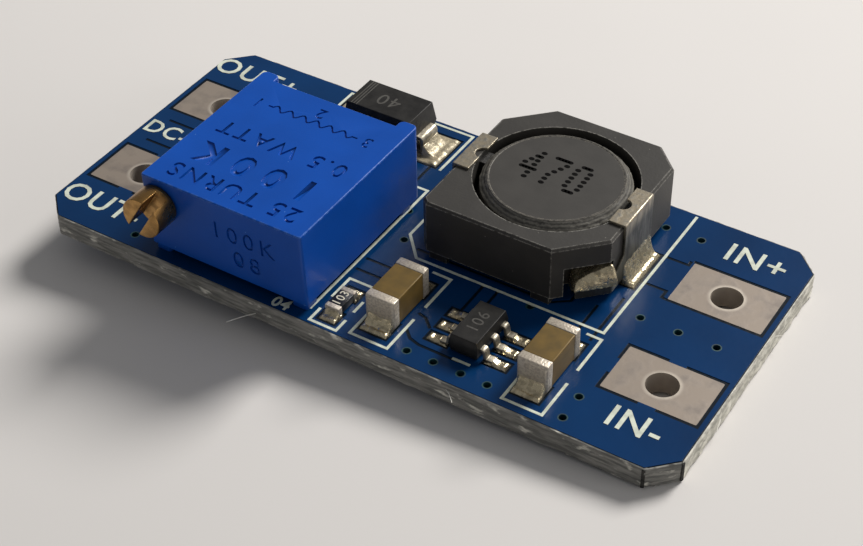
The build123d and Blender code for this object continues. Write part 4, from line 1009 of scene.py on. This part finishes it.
class MODULE_OT_board(bpy.types.Operator):
    """Finish the circuit board: laminate, masked copper, printing, vias and wire lands"""
    bl_idname = "module.board"
    bl_label = "Circuit board"

    def execute(self, context):
        look = context.scene.module_look.board
        laminate_mask = mask_over_laminate(look)
        copper_mask = mask_over_copper(look)
        edge = cut_laminate("routed_glass_epoxy", "#63635f", "#92908a", 0.6)
        # The short ends' snapped laminate is paler: white chips, and painted light as on an end that
        # faces the lamps
        snapped_and_painted_lit = cut_laminate("snapped_glass_epoxy", "#a3a197", "#cbc8bc", 0.5)
        board = node_copy("wiring_board")
        for face in board.faces:
            face.material_index = 0 if abs(face.normal.z) > 0.9 else 1
        add_piece("laminate_board", board, [laminate_mask, edge], "solder_mask", ["wiring_board"])
        add_piece("laminate_edge", edge_strip(), [edge, snapped_and_painted_lit], "solder_mask", crease=60.0)
        burnt = mottled_finish("burnt_laminate", "#0c0c0c", "#34332f", 0.2, 0.8, 0.02)
        add_piece("edge_scars", edge_scars(), burnt, "solder_mask")
        fibre = mottled_finish("glass_fibre", "#c9c7bf", "#e2e0d8", 0.2, 0.5, 0.002)
        add_piece("edge_fibres", edge_fibres(), fibre, "solder_mask")
        vias = [circle(x, y, VIA_DIAMETER / 2 + 0.02) for x, y in VIA_PLACES]
        pin_rings, lands = [], []
        for name in PIN_NODES:
            hole_y = node_box(name)[1].y - PIN_WIRE_RADIUS
            pin_rings.append(circle(middle(name).x, hole_y, PIN_LAND_RADIUS + 0.2, 32))
        for name in LAND_NODES:
            low, high = node_box(name)
            lands.append(rectangle(*middle(name).xy, high.x - low.x, high.y - low.y))
        pads = [pad_outline(joint, 0.13) for joint in joint_list()]
        top = copper_pour(
            TOP - 0.005, POUR_RISE + 0.005, land_gaps(0.44) + track_gaps(), vias + lands + pads)
        add_piece("copper_pour_top", top, copper_mask, "solder_mask")
        below = copper_pour(0.005, -POUR_RISE - 0.005, land_gaps(0.5), vias + lands + pin_rings)
        add_piece("copper_pour_bottom", below, copper_mask, "solder_mask")
        ink = printed_ink(look)
        print_bm = bmesh.new()
        for line in silkscreen_lines():
            ribbon(print_bm, line, look.line_width / MM, TOP, TOP + POUR_RISE + INK_RISE)
        turned_out(print_bm)
        join(print_bm, board_labels(look.label_height / MM, INK_RISE + 0.02))
        add_piece("printed_outlines", print_bm, ink, "solder_mask")
        barrel = mottled_finish("via_plating", "#082a38", "#1f4a4e", 0.3, 0.4, 0.004)
        rings = grown(
            [(x, y, BOARD_HIGH.z / 2) for x, y in VIA_PLACES],
            repeat_tree("via_barrels", ("Radius", "Wall", "Height"), ring_shape, barrel),
            {"Radius": VIA_DIAMETER / 2, "Wall": 0.06, "Height": BOARD_HIGH.z + 2 * POUR_RISE + 0.004})
        add_piece("via_barrels", rings, barrel, "solder_mask")
        add_copies(LAND_NODES, "_plated", 0, levelled_tin(), "land_tin")
        return {"FINISHED"}


class MODULE_OT_trimmer(bpy.types.Operator):
    """Finish the trimmer: engraved housing, brass screw, pins and what it holds inside"""
    bl_idname = "module.trimmer"
    bl_label = "Trimmer"

    def execute(self, context):
        look = context.scene.module_look.trimmer
        depth = 2 * look.engraving_depth / MM
        centre_x = (TRIM_LOW.x + TRIM_HIGH.x) / 2
        marks = bmesh.new()
        turned = Matrix.Rotation(math.pi, 4, "Z")
        for words, y, height, spacing, weight in (
            ("25 TURNS", -6.85, 1.05, 1.18, 0.01), ("100K", -5.0, 1.5, 1.7, 0.06),
            ("0.5 WATT", -2.9, 1.0, 1.25, 0.01),
        ):
            at = Matrix.Translation((centre_x, y, TRIM_HIGH.z)) @ turned
            join(marks, text_shape(words, height, depth, at, weight, spacing))
        symbol_y, half_width, wave_start, pitch, swing = -0.35, 2.7, 2.4, 0.1, 0.2
        zigzag = [(centre_x - half_width, symbol_y)]
        for i in range(49):
            zigzag.append(
                (centre_x - wave_start + pitch * i, symbol_y + swing * math.sin(i * math.pi / 4)))
        zigzag.append((centre_x + half_width, symbol_y))
        ribbon(marks, zigzag, 0.1, TRIM_HIGH.z - depth / 2, TRIM_HIGH.z + depth / 2)
        for words, x, y in (("3", -3.3, 0.0), ("2", 0.0, 0.8), ("1", 3.3, 0.0)):
            at = Matrix.Translation((centre_x - x, symbol_y + y, TRIM_HIGH.z)) @ turned
            join(marks, text_shape(words, 0.75, depth, at, 0.01))
        lean = math.atan2(TRIM_FRONT_DRAFT, TRIM_HIGH.z - TRIM_LOW.z)
        upright = Matrix.Rotation(math.pi / 2 + lean, 4, "X")
        for words, x, z in (("100K", -5.05, 4.25), ("08", -4.95, 2.8)):
            y = TRIM_LOW.y + TRIM_FRONT_DRAFT * (TRIM_HIGH.z - z) / (TRIM_HIGH.z - TRIM_LOW.z)
            at = Matrix.Translation((x, y, z)) @ upright
            join(marks, text_shape(words, 1.0, depth, at, 0.0, 1.35))
        housing = carved(softened("trimmer_housing", 0.03), turned_out(marks))
        add_piece(
            "trimmer_shell", housing, trimmer_plastic(look), "trimmer_blue", ["trimmer_housing"],
            crease=25.0)
        add_piece(
            "trimmer_seal", softened("trimmer_base", 0.04), potting_resin(), "potting",
            ["trimmer_base"])
        add_piece(
            "slotted_screw", softened("adjusting_screw", 0.05, 3), turned_brass(look),
            "screw_brass", ["adjusting_screw"], body="screw", crease=40.0)
        wire = mottled_finish(
            "tinned_copper_wire", "#8f8a7e", "#bcb6a8", 0.3, 0.32, 0.006, 1.0, (1, 1, 0.3))
        add_copies(PIN_NODES, "_wire", 0, wire, "tinned_wire", crease=50.0)
        for nodes, *finish in (
            (["screw_seal"], "seal_rubber", "#141414", "#232323", 0.3, 0.7, 0.01),
            (["wiper_carriage"], "white_nylon", "#d8d3c6", "#e6e2d6", 0.5, 0.5, 0.01),
            (["wiper_spring"], "phosphor_bronze", "#a8743f", "#c9955c", 0.3, 0.3, 0.005, 1.0),
            (["trimmer_substrate"], "white_alumina", "#dcdad2", "#efede6", 0.2, 0.6, 0.01),
            (["resistive_track", "collector_track"],
             "cermet_film", "#1d1c1b", "#33302d", 0.15, 0.45, 0.006),
        ):
            finish_nodes(mottled_finish(*finish), *nodes)
        return {"FINISHED"}


def drum_profile():
    """The drum core's outline from its foot to the middle of its top: radius and height pairs."""
    radius = (CORE_HIGH.x - CORE_LOW.x) / 2
    base, top = CORE_LOW.z, CORE_HIGH.z
    post = 1.7
    bottom_flange, top_flange, bevel = 0.65, 0.9, 0.36
    profile = [
        (0.0, base), (radius - 0.05, base), (radius, base + 0.05), (radius, base + bottom_flange),
        (post, base + bottom_flange), (post, top - top_flange), (radius, top - top_flange),
        (radius, top - bevel),
    ]
    for i in range(1, 9):
        share = i / 9
        profile.append((radius - bevel * share, top - bevel * (1 - share)))
    profile += [
        (radius - bevel, top - 0.004), (radius - bevel - 0.02, top + 0.016),
        (radius - bevel - 0.09, top + 0.016), (radius - bevel - 0.12, top - 0.004),
        (radius - bevel - 0.3, top - 0.004), (0.0, top - 0.004),
    ]
    return profile


def pitted(bm, cx, cy, inner, low_z):
    """Break up a drum's rim with chips and pits outside a radius and above a height."""
    for vert in bm.verts:
        away = Vector((vert.co.x - cx, vert.co.y - cy, 0))
        if away.length < inner or vert.co.z < low_z:
            continue
        chip = 0.6 * noise.noise(vert.co * 2.3) + noise.noise(vert.co * 8.0)
        vert.co -= (away.normalized() + Vector((0, 0, 1))) * max(-0.01, 0.03 * chip)
    return bm


def revolved(profile, cx, cy, count=240):
    """A closed body turned from a profile round an upright axis."""
    bm = bmesh.new()
    rings = []
    for radius, z in profile:
        if radius < 1e-6:
            rings.append([bm.verts.new((cx, cy, z))])
        else:
            rings.append([bm.verts.new((x, y, z)) for x, y in circle(cx, cy, radius, count)])
    for low, high in zip(rings, rings[1:]):
        for i in range(count):
            j = (i + 1) % count
            if len(low) == 1:
                bm.faces.new((low[0], high[j], high[i]))
            elif len(high) == 1:
                bm.faces.new((low[i], low[j], high[0]))
            else:
                bm.faces.new((low[i], low[j], high[j], high[i]))
    return turned_out(bm)


NUMERALS = {
    "4": ("...#.", "..##.", ".#.#.", "#..#.", "#####", "...#.", "...#."),
    "7": ("#####", "....#", "...#.", "..#..", ".#...", ".#...", ".#..."),
    "0": (".###.", "#...#", "#...#", "#...#", "#...#", "#...#", ".###."),
}


def numeral_points(number, cx, cy, z, pitch_x, pitch_y, advance):
    """Where the dots of a dot-matrix number lie."""
    points = []
    start = cx - advance * (len(number) - 1) / 2
    for place, digit in enumerate(number):
        for row, cells in enumerate(NUMERALS[digit]):
            for column, cell in enumerate(cells):
                if cell == "#":
                    x = start + place * advance + (column - 2) * pitch_x
                    points.append((x, cy + (3 - row) * pitch_y, z))
    return points


def wing_frame(right):
    """The frame of a terminal's wing: along the shield's corner cut, outwards and up."""
    sign = 1 if right else -1
    if right:
        corner = Vector((SHIELD_HIGH.x, SHIELD_LOW.y + SHIELD_CHAMFER, TOP))
    else:
        corner = Vector((SHIELD_LOW.x, SHIELD_HIGH.y - SHIELD_CHAMFER, TOP))
    along = Vector((-sign, -sign, 0)).normalized()
    outwards = Vector((sign, -sign, 0)).normalized()
    return corner, along, outwards


def trough_solder(bm, right, seed):
    """Add the lump of solder that fills a wing's trough round the winding's end."""
    corner, along, outwards = wing_frame(right)
    start, stop, depth, lap = -0.3, WING_LENGTH + 0.08, WING_SHELF_DEPTH, 0.3
    peak, fall_along, fall_over_lip = 1.98, 0.55, 0.3
    columns, rows = 32, 18
    top, low = [], []
    for i in range(columns + 1):
        s = start + (stop - start) * i / columns
        top_row, low_row = [], []
        for j in range(rows + 1):
            t = -depth + (depth + lap) * j / rows
            foot = WING_SHELF_TOP - 0.02 if t < -TERMINAL_THICK else WING_LIP_TOP - 0.05
            rim = min(s - start, stop - s, lap - t) + 0.02
            dome = math.sqrt(max(0.0, 1 - (1 - min(1.0, rim / 0.3)) ** 2))
            lump = noise.noise(Vector((s * 1.5, t * 1.5, seed)))
            fine = noise.noise(Vector((s * 5.0, t * 5.0, seed + 3)))
            full = peak - fall_along * s / stop - fall_over_lip * max(0.0, t) / lap
            full += 0.16 * lump + 0.06 * fine
            place = corner + along * s + outwards * (t + 0.05 * fine if j == rows else t)
            top_row.append(bm.verts.new(place + Vector((0, 0, foot + dome * (full - foot)))))
            low_row.append(bm.verts.new(place + Vector((0, 0, foot - 0.02))))
        top.append(top_row)
        low.append(low_row)
    close_grid(bm, top, low)


class MODULE_OT_inductor(bpy.types.Operator):
    """Finish the shielded inductor: ferrite shield, drum core with its value marks, terminals"""
    bl_idname = "module.inductor"
    bl_label = "Inductor"

    def execute(self, context):
        look = context.scene.module_look.inductor
        solder = bright_solder(context.scene.module_look.solder)
        add_piece(
            "ferrite_shield", softened("inductor_shield", 0.05, 2), pressed_ferrite(look), "ferrite",
            ["inductor_shield"])
        centre = middle("inductor_core")
        drum = pitted(
            revolved(drum_profile(), centre.x, centre.y), centre.x, centre.y, RIM_PIT_RADIUS,
            CORE_HIGH.z - RIM_PIT_DEPTH)
        add_piece("drum_core", drum, ground_ferrite(look), "ferrite", ["inductor_core"], crease=28.0)
        paint = mottled_finish("value_mark_paint", "#020202", "#070706", 0.1, 0.6, 0.002, specular=0.05)
        dots = numeral_points("470", centre.x - 0.3, centre.y + 0.3, CORE_HIGH.z, 0.17, 0.35, 1.3)
        numerals = grown(
            dots, repeat_tree("value_dots", ("Radius", "Height"), dot_shape, paint),
            {"Radius": look.dot_radius / MM, "Height": 0.01})
        add_piece("value_marks", numerals, paint, "ferrite")
        tin = tinned_terminal()
        for side in ("right", "left"):
            node = "inductor_terminal_" + side
            add_piece(f"terminal_{side}_clip", softened(node, 0.03, 2), tin, "terminal_tin", [node])
        lumps = bmesh.new()
        trough_solder(lumps, True, 5.0)
        trough_solder(lumps, False, 9.0)
        add_piece("trough_solder", turned_out(lumps), solder, "solder", ["winding_solder"], crease=60.0)
        finish_nodes(
            mottled_finish(
                "enamelled_copper", "#7a3d1c", "#a35a2a", 0.34, 0.3, 0.03, 0.8, (0.1, 0.1, 1)),
            "inductor_winding")
        finish_nodes(
            mottled_finish("core_adhesive", "#1b1a19", "#2c2a28", 0.3, 0.6, 0.03), "inductor_adhesive")
        return {"FINISHED"}


class MODULE_OT_small_parts(bpy.types.Operator):
    """Finish the diode, regulator, capacitors and resistor"""
    bl_idname = "module.small_parts"
    bl_label = "Diode, regulator and chip parts"

    def execute(self, context):
        compound = moulding_compound()
        for part in ("diode", "regulator"):
            add_piece(
                part + "_case", softened(part + "_body", 0.035), compound, "moulding_compound",
                [part + "_body"])
        lead_tin = mottled_finish("lead_plating", "#938b7b", "#bcb4a3", 0.25, 0.42, 0.006, metallic=0.8)
        leads = [f"regulator_lead_{number}" for number in range(1, 7)]
        add_copies(("diode_lead_anode", "diode_lead_cathode"), "_strip", 0.02, lead_tin, "tinned_wire")
        add_copies(leads, "_strip", 0.015, lead_tin, "tinned_wire")
        silicon = mottled_finish("silicon_die", "#3b3f46", "#565b63", 0.2, 0.2, 0.002, metallic=0.6)
        finish_nodes(silicon, "diode_chip", "regulator_chip")
        letters = bmesh.new()
        for node, words, height, turn in (
            ("regulator_body", "106", 0.62, math.pi / 2), ("diode_body", "40", 0.9, math.pi),
        ):
            low, high = node_box(node)
            at = Matrix.Translation((*middle(node).xy, high.z)) @ Matrix.Rotation(turn, 4, "Z")
            join(letters, text_shape(words, height, 0.008, at, 0.0, 1.15))
        # Three polarity lines across the diode, counted from the end of its body
        first, pitch, width, margin = 0.45, 0.16, 0.07, 0.18
        for number in range(3):
            line = rectangle(
                low.x + first + pitch * number, (low.y + high.y) / 2, width, high.y - low.y - 2 * margin)
            prism(letters, line, high.z - 0.004, high.z + 0.004)
        marks = mottled_finish("laser_marks", "#3a3834", "#4b4944", 0.2, 0.7, 0.002)
        add_piece("case_marks", letters, marks, "moulding_compound")
        ceramic = capacitor_ceramic()
        plating = plated_end()
        glaze = mottled_finish("resistor_glaze", "#121214", "#222226", 0.3, 0.28, 0.004)
        for part, width, block, slot in (
            ("input_capacitor", 0.05, ceramic, "capacitor_ceramic"),
            ("output_capacitor", 0.05, ceramic, "capacitor_ceramic"),
            ("resistor", 0.015, glaze, "resistor_glaze"),
        ):
            add_piece(part + "_block", softened(part + "_body", width), block, slot, [part + "_body"])
            add_copies((part + "_end_front", part + "_end_back"), "_cap", width, plating, "end_tin")
        at = Matrix.Translation((*middle("resistor_body").xy, node_box("resistor_body")[1].z + 0.003))
        value = text_shape("103", 0.46, 0.008, at @ Matrix.Rotation(math.pi / 2, 4, "Z"), 0.0, 1.1)
        ink = mottled_finish("resistor_ink", "#cfc9b4", "#e2dcc8", 0.1, 0.6, 0.002)
        add_piece("resistor_value", value, ink, "resistor_glaze")
        return {"FINISHED"}


class MODULE_OT_joints(bpy.types.Operator):
    """Flow the solder joints of every surface-mounted piece and of the trimmer's pins"""
    bl_idname = "module.joints"
    bl_label = "Solder joints"

    def execute(self, context):
        look = context.scene.module_look.solder
        solder = bpy.data.materials.get("reflowed_solder") or bright_solder(look)
        step = look.grid_step / MM
        by_part = {}
        for index, joint in enumerate(joint_list()):
            part, origin, way, reach, width, under, rise, rise_width = joint
            bm = by_part.setdefault(part, bmesh.new())
            pool(bm, origin, way, reach, width, under, 0.06, rise, rise_width, step, index * 7.3)
        dulled = bright_solder(look, "dulled_solder", 0.3, (0.34, 0.6), 0.7)
        for part, bm in by_part.items():
            add_piece(
                part + "_joints", turned_out(bm), dulled if part == "diode" else solder, "solder",
                [part + "_solder"], crease=75.0)
        cones = node_copy("trimmer_solder")
        add_piece("trimmer_joints", cones, solder, "solder", ["trimmer_solder"], crease=60.0)
        return {"FINISHED"}


# The camera that the photograph was taken with, found from the board's own corners
CAMERA_PLACE = (37.1688, -57.1595, 57.9911)
CAMERA_HEADING = 32.7035
CAMERA_PITCH = 41.0842
CAMERA_ROLL = -0.8928
CAMERA_LENS = 73.45
SENSOR_WIDTH = 36.0

# The board rests on its right lower edge and on the trimmer's pin tails
PIN_TAIL_DROP = 1.0
PIN_TAIL_X = -3.69


class MODULE_OT_stage(bpy.types.Operator):
    """Set the camera, the pale table and the soft lights"""
    bl_idname = "module.stage"
    bl_label = "Stage"

    def execute(self, context):
        scene = context.scene
        look = scene.module_look.stage
        data = bpy.data.cameras.new("camera")
        data.lens = CAMERA_LENS
        data.sensor_width = SENSOR_WIDTH
        data.clip_start = 0.005
        camera = placed("camera", data)
        turn = (
            Matrix.Rotation(math.radians(CAMERA_HEADING), 4, "Z")
            @ Matrix.Rotation(math.radians(90 - CAMERA_PITCH), 4, "X")
            @ Matrix.Rotation(math.radians(CAMERA_ROLL), 4, "Z")
        )
        camera.matrix_world = Matrix.Translation(Vector(CAMERA_PLACE) * MM) @ turn
        scene.camera = camera

        material, tree, place = start_material("pale_table", Roughness=0.8)
        axes = add_node(tree, "SeparateXYZ", {"Vector": place})
        # Painted shade: the table is darker towards the front, standing in for light that falls off away
        # from the lamps
        front = add_node(
            tree, "MapRange",
            {"Value": axes.outputs["Y"], "From Min": 20.0, "From Max": -45.0})
        dress(material, with_alpha(look.floor_colour, 0.97), (
            (mottle(place, 30.0, 0.2, 0.8), with_alpha(look.floor_colour, 1.02)),
            (front, with_alpha(look.floor_colour, 0.87))))
        half = 900.0
        slope = PIN_TAIL_DROP / (BOARD_HIGH.x - PIN_TAIL_X)
        floor_bm = bmesh.new()
        corners = [
            floor_bm.verts.new((x, y, (x - BOARD_HIGH.x) * slope - 0.05))
            for x, y in ((-half, -half), (half, -half), (half, half), (-half, half))
        ]
        floor_bm.faces.new(corners)
        floor = placed("table", mesh_of(floor_bm, "table"))
        floor.data.materials.append(material)

        for name, place_mm, size, power in (
            ("key", (104.0, 385.0, 333.0), 220.0, look.key_power),
            ("fill", (420.0, 60.0, 200.0), 240.0, 0.08 * look.key_power),
        ):
            lamp = bpy.data.lights.new(name, "AREA")
            lamp.shape = "DISK"
            lamp.size = size * MM
            lamp.energy = power
            lamp.color = linear("#fffcf8")[:3]
            holder = placed(name, lamp)
            holder.location = Vector(place_mm) * MM
            holder.rotation_euler = (-Vector(place_mm)).to_track_quat("-Z", "Y").to_euler()

        world = bpy.data.worlds.new("room")
        world.use_nodes = True
        scene.world = world
        background = world.node_tree.nodes["Background"]
        background.inputs["Color"].default_value = linear("#f0f1f4")
        background.inputs["Strength"].default_value = look.sky_strength
        scene.view_settings.view_transform = "Standard"
        return {"FINISHED"}


class MODULE_PT_sidebar(bpy.types.Panel):
    """The module's looks and the steps that build them"""
    bl_label = "Boost converter module"
    bl_idname = "MODULE_PT_sidebar"
    bl_space_type = "VIEW_3D"
    bl_region_type = "UI"
    bl_category = "Module"

    def draw(self, context):
        look = context.scene.module_look
        for group, operator in PANEL_ROWS:
            box = self.layout.box()
            if group:
                settings = getattr(look, group)
                for name in settings.__annotations__:
                    box.prop(settings, name)
            box.operator(operator.bl_idname)


OPERATORS = (
    MODULE_OT_board, MODULE_OT_trimmer, MODULE_OT_inductor, MODULE_OT_small_parts,
    MODULE_OT_joints, MODULE_OT_stage,
)
PANEL_ROWS = (
    ("board", MODULE_OT_board), ("trimmer", MODULE_OT_trimmer), ("inductor", MODULE_OT_inductor),
    ("", MODULE_OT_small_parts), ("solder", MODULE_OT_joints), ("stage", MODULE_OT_stage),
)
CLASSES = (
    BoardLook, TrimmerLook, InductorLook, SolderLook, StageLook, ModuleLook,
    *OPERATORS, MODULE_PT_sidebar,
)


def register():
    for kind in CLASSES:
        bpy.utils.register_class(kind)
    bpy.types.Scene.module_look = PointerProperty(type=ModuleLook)


def unregister():
    del bpy.types.Scene.module_look
    for kind in reversed(CLASSES):
        bpy.utils.unregister_class(kind)


def main():
    """Build every piece."""
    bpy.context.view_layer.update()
    register()
    bpy.ops.module.board()
    bpy.ops.module.trimmer()
    bpy.ops.module.inductor()
    bpy.ops.module.small_parts()
    bpy.ops.module.joints()
    bpy.ops.module.stage()


if __name__ == "__main__":
    main()
